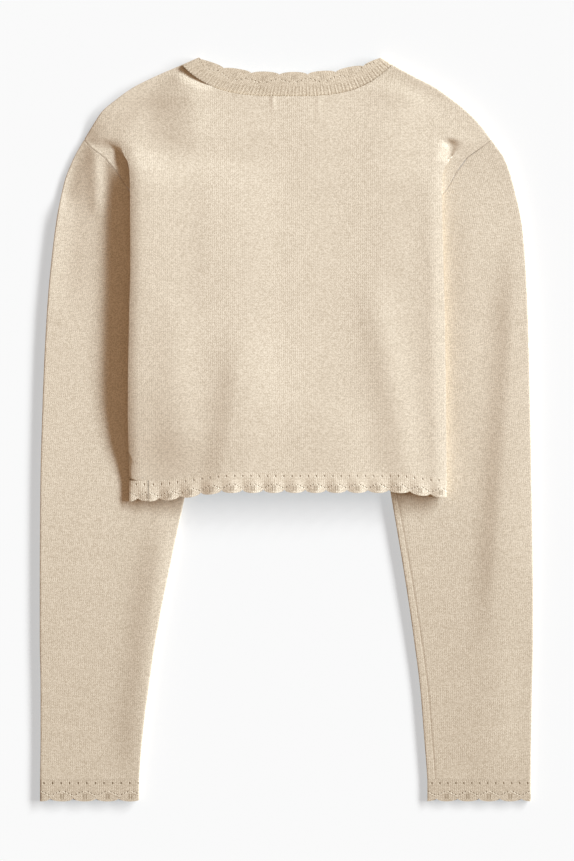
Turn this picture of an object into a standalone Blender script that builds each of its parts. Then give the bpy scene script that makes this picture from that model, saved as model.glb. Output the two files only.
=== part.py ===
"""Cropped fine-knit cardigan with scalloped edgings, laid face down on a flat surface.

X runs to the right of the garment as it lies, Y towards its neck and Z up. The surface is z = 0.
Each sleeve is a flattened tube on the surface. The back lies on top, and its sides fold round over the
sleeves. The two fronts lie beneath it, over the sleeves at the sides and on the surface in the middle.
"""

import math
from collections import namedtuple

import bmesh
import bpy
import numpy as np

# Cloth
WALL = 0.0016
GAP = 0.0004
CLEAR = 0.0008  # between layers that lie on each other

# Neck, centre front and hem
NECK_ROW = 0.3350
NECK_HALF = 0.0970
BACK_NECK_Y = 0.3059
FRONT_NECK_Y = 0.2450
BAND_TIP_X = 0.0830
BAND_TIP_Y = 0.3418
BACK_BAND_Y = 0.3283
FRONT_BAND_Y = 0.2670
FRONT_BAND_HALF = 0.0100
HEM_ROW = -0.0391
HEM_TRIM_DEPTH = 0.0190
FRONT_HEM_SHORT = 0.0025
CUFF_ROW = -0.3215
CUFF_TRIM_DEPTH = 0.0202

# Scallops of the edgings
HEM_SCALLOP = 0.0193
CUFF_SCALLOP = 0.0199
NECK_SCALLOP = 0.0248
LOBE = 0.0032
ROUND_ENDS = 0.0240  # length at each end of a hem in which it may go round a fold

# Folds
EDGE_RADIUS = 0.0031  # height of a flattened edge's middle
EDGE_ROUND = 0.0085  # how far in from an edge its top is rounded
EDGE_UNDER = 0.0035
FOLD_ROUND = 0.0130  # the same for the body's side folds
FOLD_UNDER = 0.0060
DRAPE = 0.0180  # run in which the fronts come down from a sleeve to the surface
CROSSING = 0.2145  # the row where the armhole seams pass beneath the side folds

# Buttons
BUTTON_COUNT = 7
BUTTON_RADIUS = 0.0055
BUTTON_THICK = 0.0018
BUTTON_TOP_Y = 0.2330
BUTTON_PITCH = 0.0455

SIGN = {"left": -1, "right": 1}

Edge = namedtuple("Edge", "y left right")
Sleeve = namedtuple("Sleeve", "y outer inner height")
Heights = namedtuple("Heights", "y left_crest left_side middle right_side right_crest")
Fold = namedtuple("Fold", "y left left_z right right_z")

# Outline of the shoulders, from the neck to the top of each armhole
SHOULDER = (
    Edge(0.3350, -0.0970, 0.0970),
    Edge(0.3252, -0.1196, 0.1150),
    Edge(0.3142, -0.1417, 0.1362),
    Edge(0.3031, -0.1573, 0.1518),
    Edge(0.2921, -0.1702, 0.1656),
    Edge(0.2811, -0.1776, 0.1766),
    Edge(0.2663, -0.1868, 0.1880),
)

# Armhole seams, down to the underarm points
ARMHOLE = (
    Edge(0.2663, -0.1868, 0.1880),
    Edge(0.2590, -0.1794, 0.1785),
    Edge(0.2498, -0.1674, 0.1655),
    Edge(0.2369, -0.1564, 0.1560),
    Edge(0.2249, -0.1490, 0.1495),
    Edge(0.2140, -0.1395, 0.1420),
    Edge(0.1900, -0.1200, 0.1220),
    Edge(0.1500, -0.0890, 0.0930),
    Edge(0.1100, -0.0598, 0.0635),
)

# Side seams from the underarm to where they reach the body's folds
SIDE_SEAM = (
    Edge(0.1100, -0.0598, 0.0635),
    Edge(0.0800, -0.0840, 0.0880),
    Edge(0.0500, -0.1090, 0.1120),
    Edge(0.0150, -0.1405, 0.1398),
    Edge(-0.0600, -0.1405, 0.1398),
)

# How far round the fold the side seams then are: 1 below it, 2 at its side, 3 at its crest
SEAM_TURN = (
    Edge(0.0150, 1.00, 1.00),
    Edge(-0.0050, 1.60, 1.25),
    Edge(-0.0230, 2.80, 1.55),
    Edge(-0.0391, 3.05, 1.80),
    Edge(-0.0600, 3.05, 1.80),
)

LEFT_SLEEVE = (
    Sleeve(0.2663, -0.1868, -0.0287, 0.0072),
    Sleeve(0.2479, -0.1969, -0.0324, 0.0072),
    Sleeve(0.2259, -0.2052, -0.0367, 0.0070),
    Sleeve(0.1817, -0.2134, -0.0455, 0.0068),
    Sleeve(0.1099, -0.2205, -0.0598, 0.0066),
    Sleeve(0.0271, -0.2245, -0.0763, 0.0064),
    Sleeve(-0.0612, -0.2268, -0.0938, 0.0062),
    Sleeve(-0.1495, -0.2272, -0.1122, 0.0062),
    Sleeve(-0.1937, -0.2272, -0.1205, 0.0060),
    Sleeve(-0.2378, -0.2265, -0.1270, 0.0058),
    Sleeve(-0.2820, -0.2265, -0.1325, 0.0056),
    Sleeve(-0.3215, -0.2270, -0.1357, 0.0056),
    Sleeve(-0.3450, -0.2275, -0.1366, 0.0054),
)

RIGHT_SLEEVE = (
    Sleeve(0.2663, 0.1880, 0.0326, 0.0072),
    Sleeve(0.2479, 0.2006, 0.0375, 0.0072),
    Sleeve(0.2259, 0.2079, 0.0417, 0.0070),
    Sleeve(0.1817, 0.2171, 0.0500, 0.0068),
    Sleeve(0.1099, 0.2215, 0.0635, 0.0066),
    Sleeve(0.0271, 0.2236, 0.0791, 0.0064),
    Sleeve(-0.0612, 0.2252, 0.0957, 0.0062),
    Sleeve(-0.1495, 0.2263, 0.1104, 0.0062),
    Sleeve(-0.1937, 0.2263, 0.1168, 0.0060),
    Sleeve(-0.2378, 0.2254, 0.1224, 0.0058),
    Sleeve(-0.2820, 0.2247, 0.1260, 0.0056),
    Sleeve(-0.3215, 0.2242, 0.1290, 0.0056),
    Sleeve(-0.3450, 0.2242, 0.1300, 0.0054),
)

SLEEVES = {"left": LEFT_SLEEVE, "right": RIGHT_SLEEVE}

# Side folds of the body: where they reach outwards and the height of that line
BODY_FOLD = (
    Fold(0.2700, -0.1580, 0.0095, 0.1412, 0.0100),
    Fold(0.2571, -0.1527, 0.0105, 0.1474, 0.0110),
    Fold(0.2479, -0.1481, 0.0120, 0.1485, 0.0120),
    Fold(0.2369, -0.1454, 0.0130, 0.1470, 0.0125),
    Fold(0.2203, -0.1444, 0.0135, 0.1430, 0.0125),
    Fold(0.1560, -0.1446, 0.0135, 0.1440, 0.0122),
    Fold(0.1000, -0.1465, 0.0130, 0.1455, 0.0120),
    Fold(0.0200, -0.1467, 0.0120, 0.1463, 0.0112),
    Fold(-0.0250, -0.1458, 0.0105, 0.1464, 0.0102),
    Fold(-0.0600, -0.1440, 0.0096, 0.1464, 0.0096),
)

# Where each side fold begins, and the row by which it is full
FOLD_START = {"left": 0.2580, "right": 0.2680}
FOLD_FULL = {"left": 0.2360, "right": 0.2420}

# Height of the back's outer face across the garment
BACK_HEIGHT = (
    Heights(0.3350, 0.0068, 0.0070, 0.0066, 0.0070, 0.0068),
    Heights(0.3000, 0.0076, 0.0074, 0.0064, 0.0074, 0.0076),
    Heights(0.2700, 0.0090, 0.0086, 0.0074, 0.0086, 0.0094),
    Heights(0.2480, 0.0138, 0.0110, 0.0088, 0.0106, 0.0138),
    Heights(0.2200, 0.0186, 0.0134, 0.0094, 0.0124, 0.0172),
    Heights(0.1500, 0.0190, 0.0140, 0.0096, 0.0128, 0.0170),
    Heights(0.0500, 0.0172, 0.0126, 0.0094, 0.0120, 0.0152),
    Heights(0.0000, 0.0156, 0.0114, 0.0090, 0.0110, 0.0140),
    Heights(-0.0391, 0.0132, 0.0102, 0.0086, 0.0100, 0.0128),
    Heights(-0.0600, 0.0124, 0.0096, 0.0082, 0.0094, 0.0120),
)
HEIGHT_X = (-0.1320, -0.0700, 0.0, 0.0700, 0.1320)

# Largest creases of the cloth: from one point to another, half width and height (negative for a trough)
Crease = namedtuple("Crease", "x0 y0 x1 y1 width height")
CREASES = (
    Crease(-0.1170, 0.128, -0.1215, -0.037, 0.010, -0.0010),
    Crease(-0.0480, 0.120, -0.0740, -0.050, 0.012, -0.0012),
    Crease(0.0720, 0.120, 0.1040, -0.020, 0.013, -0.0012),
    Crease(-0.1720, 0.250, -0.1730, 0.160, 0.009, 0.0016),
    Crease(-0.1260, -0.110, -0.1470, -0.290, 0.008, -0.0012),
    Crease(0.2000, 0.160, 0.1860, -0.050, 0.009, -0.0016),
    Crease(0.1840, -0.110, 0.1730, -0.250, 0.009, -0.0012),
)


# ---------------------------------------------------------------- curves and tables


def through(at, value, where):
    """A curve through points with rising places, which never swings past them."""
    at = np.asarray(at, float)
    value = np.asarray(value, float)
    where = np.clip(where, at[0], at[-1])
    step = np.diff(at)
    slope = np.diff(value) / step
    product = slope[1:] * slope[:-1]
    total = np.where(product > 0, slope[1:] + slope[:-1], 1.0)
    inner = np.where(product > 0, 2 * product / total, 0.0)
    tangent = np.concatenate([slope[:1], inner, slope[-1:]])
    k = np.clip(np.searchsorted(at, where, side="right") - 1, 0, len(step) - 1)
    t = (where - at[k]) / step[k]
    return (
        value[k] * (1 + 2 * t) * (1 - t) ** 2
        + value[k + 1] * t**2 * (3 - 2 * t)
        + step[k] * t * (1 - t) * (tangent[k] * (1 - t) - tangent[k + 1] * t)
    )


def lookup(table, column, y):
    """One column of a table of rows, at the place y along the garment."""
    rows = sorted(table, key=lambda row: row.y)
    return through([row.y for row in rows], [getattr(row, column) for row in rows], y)


def between(table, column, y):
    """The same, in straight lines from row to row."""
    rows = sorted(table, key=lambda row: row.y)
    return np.interp(y, [row.y for row in rows], [getattr(row, column) for row in rows])


def ease(share):
    share = np.clip(share, 0.0, 1.0)
    return share * share * (3 - 2 * share)


def rise(share):
    """Quarter round: 0 at the edge of a fold, 1 from its crest inwards."""
    share = np.clip(share, 0.0, 1.0)
    return np.sqrt(share * (2 - share))


def creased(x, y):
    """Height that the creases add at a point."""
    total = np.zeros(np.broadcast(x, y).shape)
    for crease in CREASES:
        run_x = crease.x1 - crease.x0
        run_y = crease.y1 - crease.y0
        length = math.hypot(run_x, run_y)
        along = ((x - crease.x0) * run_x + (y - crease.y0) * run_y) / length**2
        off = ((x - crease.x0) * run_y - (y - crease.y0) * run_x) / length
        ends = ease(along / 0.25) * ease((1 - along) / 0.25)
        total = total + crease.height * ends * np.exp(-((off / crease.width) ** 2))
    return total


# ---------------------------------------------------------------- the laid shape


def outline(side, y):
    """Outer edge of the garment: the shoulder, then the sleeve."""
    sleeve = lookup(SLEEVES[side], "outer", y)
    return np.where(y > ARMHOLE[0].y, lookup(SHOULDER, side, y), sleeve)


def edge_share(side, x, y):
    """How far in from the outline a point is, square to the outline, as a share of the rounding."""
    step = 0.002
    lean = (outline(side, y + step) - outline(side, y - step)) / (2 * step)
    inwards = (outline(side, y) - x) * SIGN[side]
    return inwards / np.sqrt(1 + lean**2) / EDGE_ROUND


def sleeve_height(side, y):
    return lookup(SLEEVES[side], "height", y)


def sleeve_top(side, x, y):
    """Upper face of a sleeve."""
    inner = lookup(SLEEVES[side], "inner", y)
    round_outer = rise(edge_share(side, x, y))
    round_inner = rise((x - inner) * SIGN[side] / EDGE_ROUND)
    crown = sleeve_height(side, y) + creased(x, y)
    return EDGE_RADIUS + (crown - EDGE_RADIUS) * round_outer * round_inner


def sleeve_under(side, x, y):
    """Lower face of a sleeve: flat on the surface, turned up at its edges."""
    inner = lookup(SLEEVES[side], "inner", y)
    share = EDGE_ROUND / EDGE_UNDER
    round_outer = rise(edge_share(side, x, y) * share)
    round_inner = rise((x - inner) * SIGN[side] / EDGE_UNDER)
    return EDGE_RADIUS * (1 - round_outer * round_inner)


def back_height(x, y):
    """Outer face of the back away from its edges."""
    places = [lookup(BACK_HEIGHT, name, y) for name in Heights._fields[1:]]
    x = np.clip(x, HEIGHT_X[0], HEIGHT_X[-1])
    k = np.clip(np.searchsorted(HEIGHT_X, x, side="right") - 1, 0, 3)
    t = (x - np.take(HEIGHT_X, k)) / np.take(np.diff(HEIGHT_X), k)
    low = np.choose(k, places[:-1])
    high = np.choose(k, places[1:])
    return low + (high - low) * ease(t) + creased(x, y)


def neck_dip(x):
    """How far below the neck points the back's neck seam runs."""
    share = np.clip(np.abs(x) / NECK_HALF, 0.0, 1.0)
    return (NECK_ROW - BACK_NECK_Y) * (1 - share**3.4)


def hem_drop(x):
    """How far below the middle the hem hangs at its corners."""
    return 0.0078 * ease((-0.050 - x) / 0.075) + 0.0041 * ease((x - 0.100) / 0.040)


def back_y(x, row):
    """Place along the garment of a point on one of the back's rows."""
    neck = ease((row - 0.250) / (NECK_ROW - 0.250))
    hem = ease((0.060 - row) / 0.095)
    return row - neck_dip(x) * neck - hem_drop(x) * hem


def body_edge(side, y):
    """Edge of the back: shoulder, armhole, then side seam."""
    armhole = between(ARMHOLE, side, y)
    seam = between(SIDE_SEAM, side, y)
    below = np.where(y > ARMHOLE[-1].y, armhole, seam)
    return np.where(y > ARMHOLE[0].y, lookup(SHOULDER, side, y), below)


def back_point(side, row, turn):
    """Point of the back's outer face on one half of a row.

    turn is 0 at the seam edge, 1 under the side fold, 2 at its outermost line, 3 at its crest
    and 4 at the centre back. Above the fold the same steps lie flat on the shoulder.
    """
    sign = SIGN[side]
    apart = np.where(row > ARMHOLE[0].y, 0.0, np.where(row > CROSSING, GAP, -GAP / 2))
    edge = body_edge(side, row) - sign * apart
    flat_x = edge - sign * np.interp(turn, (0, 1, 2, 3), (0, 0.007, 0.016, 0.031))
    flat_x = np.where(turn > 3, flat_x * (4 - turn), flat_x)
    y = back_y(flat_x, row)
    into = ease((edge - flat_x) * sign / 0.040)
    inside = sleeve_height(side, y) + (back_height(flat_x, y) - sleeve_height(side, y)) * into
    mid = EDGE_RADIUS + GAP / 2
    flat_z = mid + (inside - mid) * rise(edge_share(side, flat_x, y))

    fold_x = lookup(BODY_FOLD, side, row)
    fold_z = lookup(BODY_FOLD, side + "_z", row)
    low = sleeve_height(side, row) + CLEAR
    turn_z = low + 0.0016 * np.exp(-(((row - 0.212) / 0.018) ** 2))
    seam_z = np.where(row > CROSSING, sleeve_top(side, edge, row), low)
    lower = np.clip(turn - 1, 0, 1) * math.pi / 2
    upper = np.clip(turn - 2, 0, 1) * math.pi / 2
    under_x = fold_x - sign * FOLD_UNDER
    crest_x = fold_x - sign * FOLD_ROUND
    turn_x = np.where(turn < 1, edge + (under_x - edge) * turn, fold_x - sign * FOLD_UNDER * (1 - np.sin(lower)))
    fold_top = fold_x - sign * FOLD_ROUND * (1 - np.cos(upper))
    x = np.where(turn < 2, turn_x, np.where(turn < 3, fold_top, crest_x * (4 - turn)))
    top = back_height(x, back_y(x, row))
    z = np.where(
        turn < 1,
        seam_z + (turn_z - seam_z) * ease(turn),
        np.where(
            turn < 2,
            turn_z + (fold_z - turn_z) * (1 - np.cos(lower)),
            fold_z + (top - fold_z) * np.sin(upper),
        ),
    )
    full = ease((FOLD_START[side] - row) / (FOLD_START[side] - FOLD_FULL[side]))
    x = flat_x + (x - flat_x) * full
    z = flat_z + (z - flat_z) * full
    return x, back_y(x, row), z


def seam_turn(side, row):
    """Where on the fold the side seam is, once it has left the underside."""
    return np.where(row > SEAM_TURN[0].y + 1e-6, 0.0, between(SEAM_TURN, side, row))


def seam_facing(side, row):
    """Outward direction of the cloth at the back's side edge."""
    if row >= ARMHOLE[0].y:
        lean = (outline(side, row + 0.001) - outline(side, row - 0.001)) / 0.002
        return unit(np.array([SIGN[side], -SIGN[side] * lean, 0.0]))
    start = float(seam_turn(side, row))
    turns = np.array([max(start - 0.02, 0.0), start + 0.02])
    x, _, z = back_point(side, np.full(2, row), turns)
    return unit(np.array([z[0] - z[1], 0.0, x[1] - x[0]])) * -SIGN[side]


def front_under(side, x, y):
    """Outer (lower) face of a front: on the surface, or over the sleeve beneath it."""
    sign = SIGN[side]
    underarm = ARMHOLE[-1].y
    armhole = between(ARMHOLE, side, y)
    inner = lookup(SLEEVES[side], "inner", y)
    start = np.where(y > underarm, armhole, inner)
    lift = ease((underarm + 0.040 - y) / 0.040)
    over = (sleeve_height(side, y) + CLEAR) * lift
    z = over * (1 - ease((start - x + sign * 0.001) * sign / DRAPE))
    shoulder = np.where(y > ARMHOLE[0].y, edge_share(side, x, y) * EDGE_ROUND / EDGE_UNDER, 1.0)
    z = z + (EDGE_RADIUS - GAP / 2) * (1 - rise(shoulder))
    if side == "left":
        z = z + (WALL + CLEAR) * ease((x + 0.032) / 0.018)
    return z


def front_neck_x(y):
    """Half width of the front neckline."""
    share = np.clip((y - FRONT_NECK_Y) / (NECK_ROW - FRONT_NECK_Y), 0.0, 1.0)
    return NECK_HALF * share ** (1 / 2.4)


# ---------------------------------------------------------------- meshes


def remove_everything():
    for obj in list(bpy.data.objects):
        bpy.data.objects.remove(obj, do_unlink=True)


def material(name, colour, roughness, metallic=0.0):
    made = bpy.data.materials.new(name)
    made.use_nodes = True
    shader = made.node_tree.nodes["Principled BSDF"]
    shader.inputs["Base Color"].default_value = (*colour, 1.0)
    shader.inputs["Roughness"].default_value = roughness
    shader.inputs["Metallic"].default_value = metallic
    return made


def directions(grid, axis, ring):
    """Direction of a grid's lines at each of its points, halfway between those of the steps beside it."""
    if ring:
        ahead = np.roll(grid, -1, axis) - grid
        behind = grid - np.roll(grid, 1, axis)
    else:
        step = np.diff(grid, axis=axis)
        ahead = np.concatenate([step, np.take(step, [-1], axis)], axis)
        behind = np.concatenate([np.take(step, [0], axis), step], axis)
    return unit(ahead) + unit(behind)


def unit(vectors):
    return vectors / np.linalg.norm(vectors, axis=-1, keepdims=True)


def cloth(name, rows, finish, ring=False, ends=(None, None)):
    """A wall of cloth from rows of points on its outer face, which is seen with the rows going down.

    ends gives the outward directions at the first and last points of the rows, where they meet another piece.
    """
    outer = np.asarray(rows)
    normal = unit(np.cross(directions(outer, 0, False), directions(outer, 1, ring)))
    for column, facing in zip((0, -1), ends):
        if facing is not None:
            normal[:, column] = facing
    if ring:
        normal[(0, -1), :, 1] = 0
    inner = outer - WALL * unit(normal)
    count = outer.shape[1]
    mesh = bmesh.new()
    face, lining = ([[mesh.verts.new(point) for point in row] for row in side] for side in (outer, inner))
    columns = [(i, (i + 1) % count) for i in range(count if ring else count - 1)]
    for k in range(len(face) - 1):
        for i, j in columns:
            mesh.faces.new((face[k][i], face[k + 1][i], face[k + 1][j], face[k][j]))
            mesh.faces.new((lining[k][i], lining[k][j], lining[k + 1][j], lining[k + 1][i]))
        if not ring:
            mesh.faces.new((face[k][0], lining[k][0], lining[k + 1][0], face[k + 1][0]))
            mesh.faces.new((face[k][-1], face[k + 1][-1], lining[k + 1][-1], lining[k][-1]))
    for i, j in columns:
        mesh.faces.new((face[0][i], face[0][j], lining[0][j], lining[0][i]))
        mesh.faces.new((face[-1][i], lining[-1][i], lining[-1][j], face[-1][j]))
    data = bpy.data.meshes.new(name)
    mesh.to_mesh(data)
    mesh.free()
    data.shade_smooth()
    obj = bpy.data.objects.new(name, data)
    bpy.context.collection.objects.link(obj)
    obj.data.materials.append(finish)
    return obj


def points(x, y, z):
    x, y, z = np.broadcast_arrays(x, y, z)
    return [tuple(map(float, point)) for point in zip(x, y, z)]


HALF_TURNS = (0, 0.5, 1, 1.5, 2, 2.35, 2.7, 3, 3.15, 3.38, 3.65, 4)
SHOULDER_ROWS = (0.3250, 0.3140, 0.3030, 0.2920, 0.2810)
ARMHOLE_ROWS = tuple(point.y for point in ARMHOLE)
SIDE_ROWS = (0.0800, 0.0500, 0.0250, 0.0150, 0.0050, -0.0050, -0.0150, -0.0270, HEM_ROW)
BACK_ROWS = (NECK_ROW, *SHOULDER_ROWS, *ARMHOLE_ROWS, *SIDE_ROWS)


def lobe(along, pitch):
    """Depth of the scalloped edge, as a share: 1 in the middle of a scallop, 0 between two."""
    place = np.mod(along / pitch + 0.5, 1.0) - 0.5
    return np.sqrt(np.clip(1 - (2 * place) ** 2, 0.0, 1.0))


def run_length(x, z):
    """Length along a row from its first point."""
    return np.concatenate([[0.0], np.cumsum(np.hypot(np.diff(x), np.diff(z)))])


def back_row(row, steps):
    """A whole row of the back, from the left side seam to the right one."""
    halves = {}
    for side in ("left", "right"):
        start = float(seam_turn(side, row))
        turns = start + np.asarray(steps) * (4 - start) / 4
        halves[side] = back_point(side, np.full(len(steps), row), turns)
    joined = [np.concatenate([left, right[-2::-1]]) for left, right in zip(halves["left"], halves["right"])]
    return joined


def build_back(finish):
    rows = [points(*back_row(row, HALF_TURNS)) for row in BACK_ROWS]
    ends = [[seam_facing(side, row) for row in BACK_ROWS] for side in ("left", "right")]
    cloth("back", rows, finish, ends=ends)


def resampled(line, along):
    """Points of a row at the given lengths along it."""
    length = run_length(line[0], line[-1])
    return [np.interp(along, length, part) for part in line]


def scalloped(line, depth, pitch, ring=False):
    """Rows of a scalloped edging that continues the last row of a piece of cloth."""
    full = run_length(line[0], line[-1])[-1]
    count = max(2, round(full / pitch * 4))
    along = np.linspace(0.0, full, count + 1)
    nodes = run_length(line[0], line[-1])
    folded = nodes[(nodes < ROUND_ENDS) | (nodes > full - ROUND_ENDS)]
    if not ring:
        apart = np.abs(folded[:, None] - along).min(axis=1) > 0.0008
        along = np.sort(np.concatenate([along, folded[apart]]))
    x, y, z = resampled(line, along)
    if ring:
        x, y, z, along = x[:-1], y[:-1], z[:-1], along[:-1]
    reach = depth - LOBE + LOBE * lobe(along, full / count * 4)
    return [points(x, y - GAP, z), points(x, y - reach, np.maximum(z - 0.0004, 0.0))]


def build_back_trim(finish):
    rows = scalloped(back_row(HEM_ROW, HALF_TURNS), HEM_TRIM_DEPTH, HEM_SCALLOP)
    ends = [[seam_facing(side, HEM_ROW)] * 2 for side in ("left", "right")]
    cloth("back_hem_edging", rows, finish, ends=ends)


FRONT_ROWS = tuple(
    sorted((0.3320, *SHOULDER_ROWS, *ARMHOLE_ROWS, 0.2540, 0.2473, 0.2455, *SIDE_ROWS), reverse=True)
)
OVER_SLEEVE = (0.0, 0.07, 0.14, 0.21, 0.29, 0.58, 1.0)  # columns over the sleeve
DOWN_TO_FLOOR = (0.35, 0.70, 1.0)
LAP = (0.0320, 0.0230, 0.0140)  # where the front that lies over the other one rises


def front_line(side, row):
    """One row of a front, from its side edge to the centre."""
    sign = SIGN[side]
    turn = float(seam_turn(side, row))
    edge = float(body_edge(side, row)) - sign * GAP * (row <= ARMHOLE[0].y)
    open_neck = row >= FRONT_NECK_Y
    end = FRONT_BAND_HALF + GAP
    if open_neck:
        end = max(float(front_neck_x(row)), FRONT_BAND_HALF) + 1.5 * GAP
    wrap = [np.zeros(0), np.zeros(0)]
    if turn > 1.07:
        turns = np.linspace(turn - 0.06, 1.0, 25)
        x, _, z = back_point(side, np.full(25, row), turns)
        wrap = [x[:-1], z[:-1]]
        edge = x[-1]
    x = edge + (sign * end - edge) * np.linspace(0.0, 1.0, 120)
    z = front_under(side, x, np.full(120, row))
    inner = float(lookup(SLEEVES[side], "inner", row))
    x = np.concatenate([wrap[0], x])
    z = np.concatenate([wrap[1], z])
    length = run_length(x, z)
    over = 0.0
    if row < ARMHOLE[-1].y:
        over = length[len(wrap[0])] + (edge - inner) * sign
    over = max(over, min(0.010, 0.15 * length[-1]))
    down = over + min(DRAPE, 0.2 * length[-1]) * np.array(DOWN_TO_FLOOR)
    if open_neck:
        rest = np.linspace(down[-1], length[-1], 6)[1:]
    else:
        lap = length[-1] - (np.array(LAP) - end)
        rest = np.array([(down[-1] + lap[0]) / 2, *lap, length[-1]])
    along = np.concatenate([over * np.array(OVER_SLEEVE), down, rest])
    x, z = resampled((x, z), along)
    return x, front_y(x, row, edge), z


def front_y(x, row, edge):
    """The fronts' rows bend at the hem as the back's do, and between the side seams end a little higher."""
    hem = ease((0.060 - row) / 0.095)
    inside = ease((np.abs(edge) - np.abs(x)) / 0.040)
    return row + (FRONT_HEM_SHORT * inside - hem_drop(x)) * hem


def face_down(side, rows):
    """Puts rows that go from the side to the centre in the order for a piece whose outer face is below."""
    return [row[::-1] for row in rows] if side == "left" else rows


def front_ends(side, rows):
    """Outward directions at a front's side edge and centre, in the order of its columns."""
    seam = []
    for row in rows:
        beside_sleeve = ARMHOLE[-1].y < row < ARMHOLE[0].y
        seam.append((0.0, 0.0, -1.0) if beside_sleeve else seam_facing(side, row))
    centre = [(0.0, 0.0, -1.0)] * len(rows)
    return (centre, seam) if side == "left" else (seam, centre)


def build_front(side, finish):
    rows = [points(*front_line(side, row)) for row in FRONT_ROWS]
    cloth(side + "_front", face_down(side, rows), finish, ends=front_ends(side, FRONT_ROWS))


def build_front_trim(side, finish):
    rows = scalloped(front_line(side, HEM_ROW), HEM_TRIM_DEPTH, HEM_SCALLOP)
    ends = front_ends(side, (HEM_ROW, HEM_ROW))
    cloth(side + "_front_hem_edging", face_down(side, rows), finish, ends=ends)


SLEEVE_ROWS = (0.0, 0.03, 0.08, 0.15, 0.24, 0.35, 0.48, 0.64, 0.82, 1.0)


def armhole_shares(side):
    """How far across the sleeve each point of the armhole seam is: 0 at the outer edge, 1 at the underarm."""
    y = np.array(ARMHOLE_ROWS)
    x = np.array([getattr(point, side) for point in ARMHOLE])
    outer = lookup(SLEEVES[side], "outer", y)
    inner = lookup(SLEEVES[side], "inner", y)
    share = (x - outer) / (inner - outer)
    share[0] = 0.0
    share[-1] = 1.0
    return share


def sleeve_ring(side, along, across):
    """One ring of a sleeve from its outer edge over the top to its inner edge and back beneath."""
    start = np.interp(across, armhole_shares(side), ARMHOLE_ROWS) - GAP
    y = start + (CUFF_ROW - start) * along
    outer = lookup(SLEEVES[side], "outer", y)
    inner = lookup(SLEEVES[side], "inner", y)
    x = outer + (inner - outer) * across
    back = slice(-2, 0, -1)
    x = np.concatenate([x, x[back]])
    z = np.concatenate([sleeve_top(side, x[: len(y)], y), sleeve_under(side, x[len(y) :], y[back])])
    return x, np.concatenate([y, y[back]]), z


def build_sleeve(side, finish):
    across = np.sort(np.concatenate([armhole_shares(side), [0.015, 0.90, 0.965]]))
    rows = [points(*sleeve_ring(side, along, across)) for along in SLEEVE_ROWS]
    if side == "right":
        rows = [row[::-1] for row in rows]
    cloth(side + "_sleeve", rows, finish, ring=True)


def build_cuff_trim(side, finish):
    line = sleeve_ring(side, 1.0, (1 - np.cos(np.linspace(0, math.pi, 41))) / 2)
    closed = [np.append(part, part[0]) for part in line]
    around = run_length(closed[0], closed[2])[-1]
    rows = scalloped(closed, CUFF_TRIM_DEPTH, around / round(around / CUFF_SCALLOP), ring=True)
    if side == "right":
        rows = [row[::-1] for row in rows]
    cloth(side + "_cuff_edging", rows, finish, ring=True)


# ---------------------------------------------------------------- neckband, bands and buttons


def curve_points(half, low, high, power, x_from, x_to, shares):
    """Points of the curve y = low + (high - low) * |x / half| ** power, even along its length."""
    x = np.linspace(x_from, x_to, 200)
    y = low + (high - low) * (np.abs(x) / half) ** power
    length = run_length(x, y)
    x = np.interp(shares * length[-1], length, x)
    return x, low + (high - low) * (np.abs(x) / half) ** power


def neckband_half_front(side, shares):
    """Seam edge and free edge of the band on one front, from the neck point to the centre front."""
    sign = SIGN[side]
    end = -sign * FRONT_BAND_HALF
    seam = curve_points(NECK_HALF, FRONT_NECK_Y, NECK_ROW, 2.4, sign * NECK_HALF, end, shares)
    free = curve_points(BAND_TIP_X, FRONT_BAND_Y, BAND_TIP_Y, 2.6, sign * BAND_TIP_X, end, shares)
    return seam, free


def neckband_back(shares):
    seam = curve_points(NECK_HALF, BACK_NECK_Y + GAP, NECK_ROW + GAP, 3.4, -NECK_HALF, NECK_HALF, shares)
    free = curve_points(BAND_TIP_X, BACK_BAND_Y, BAND_TIP_Y, 2.6, -BAND_TIP_X, BAND_TIP_X, shares)
    return seam, free


def build_neckband(finish):
    seam_x, seam_y, free_x, free_y, height = [], [], [], [], []
    fold_in = np.array([0.0, 0.02, 0.05, 0.10])
    front_shares = np.concatenate([fold_in, np.linspace(0.16, 1.0, 25)])
    back_shares = np.concatenate([fold_in, np.linspace(0.14, 0.86, 29), 1 - fold_in[::-1]])
    for side in ("left", "right"):
        seam, free = neckband_half_front(side, front_shares)
        down = front_shares * 0.150
        z = EDGE_RADIUS * (1 - rise(down / EDGE_UNDER))
        if side == "left":
            z = z + (WALL + CLEAR) * ease((seam[0] + 0.032) / 0.018)
        order = slice(None, 0, -1) if side == "left" else slice(1, None)
        part = [seam[0][order], seam[1][order], free[0][order], free[1][order], z[order]]
        if side == "right":
            for store, values in zip((seam_x, seam_y, free_x, free_y, height), part):
                store.append(values)
            continue
        for store, values in zip((seam_x, seam_y, free_x, free_y, height), part):
            store.append(values)
        seam, free = neckband_back(back_shares)
        inwards = np.minimum(back_shares, 1 - back_shares) * 0.205
        crown = back_height(seam[0], np.full(len(back_shares), NECK_ROW))
        z = EDGE_RADIUS + (crown - EDGE_RADIUS) * rise(inwards / EDGE_ROUND)
        for store, values in zip((seam_x, seam_y, free_x, free_y, height), (*seam, *free, z)):
            store.append(values)
    seam_x, seam_y, free_x, free_y, height = map(np.concatenate, (seam_x, seam_y, free_x, free_y, height))
    along = run_length(free_x, free_y)
    inward_x = seam_x - free_x
    inward_y = seam_y - free_y
    width = np.hypot(inward_x, inward_y)
    cut = LOBE * (1 - lobe(along, along[-1] / round(along[-1] / NECK_SCALLOP))) / width
    rows = []
    for share in (0.0, 1.0):
        reach = share * (1 - cut) + (1 - share) * GAP / width
        rows.append(points(seam_x - inward_x * reach, seam_y - inward_y * reach, height))
    cloth("neckband", [row[::-1] for row in rows[::-1]][::-1], finish)


def button_places():
    return [BUTTON_TOP_Y - BUTTON_PITCH * k for k in range(BUTTON_COUNT)]


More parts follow.
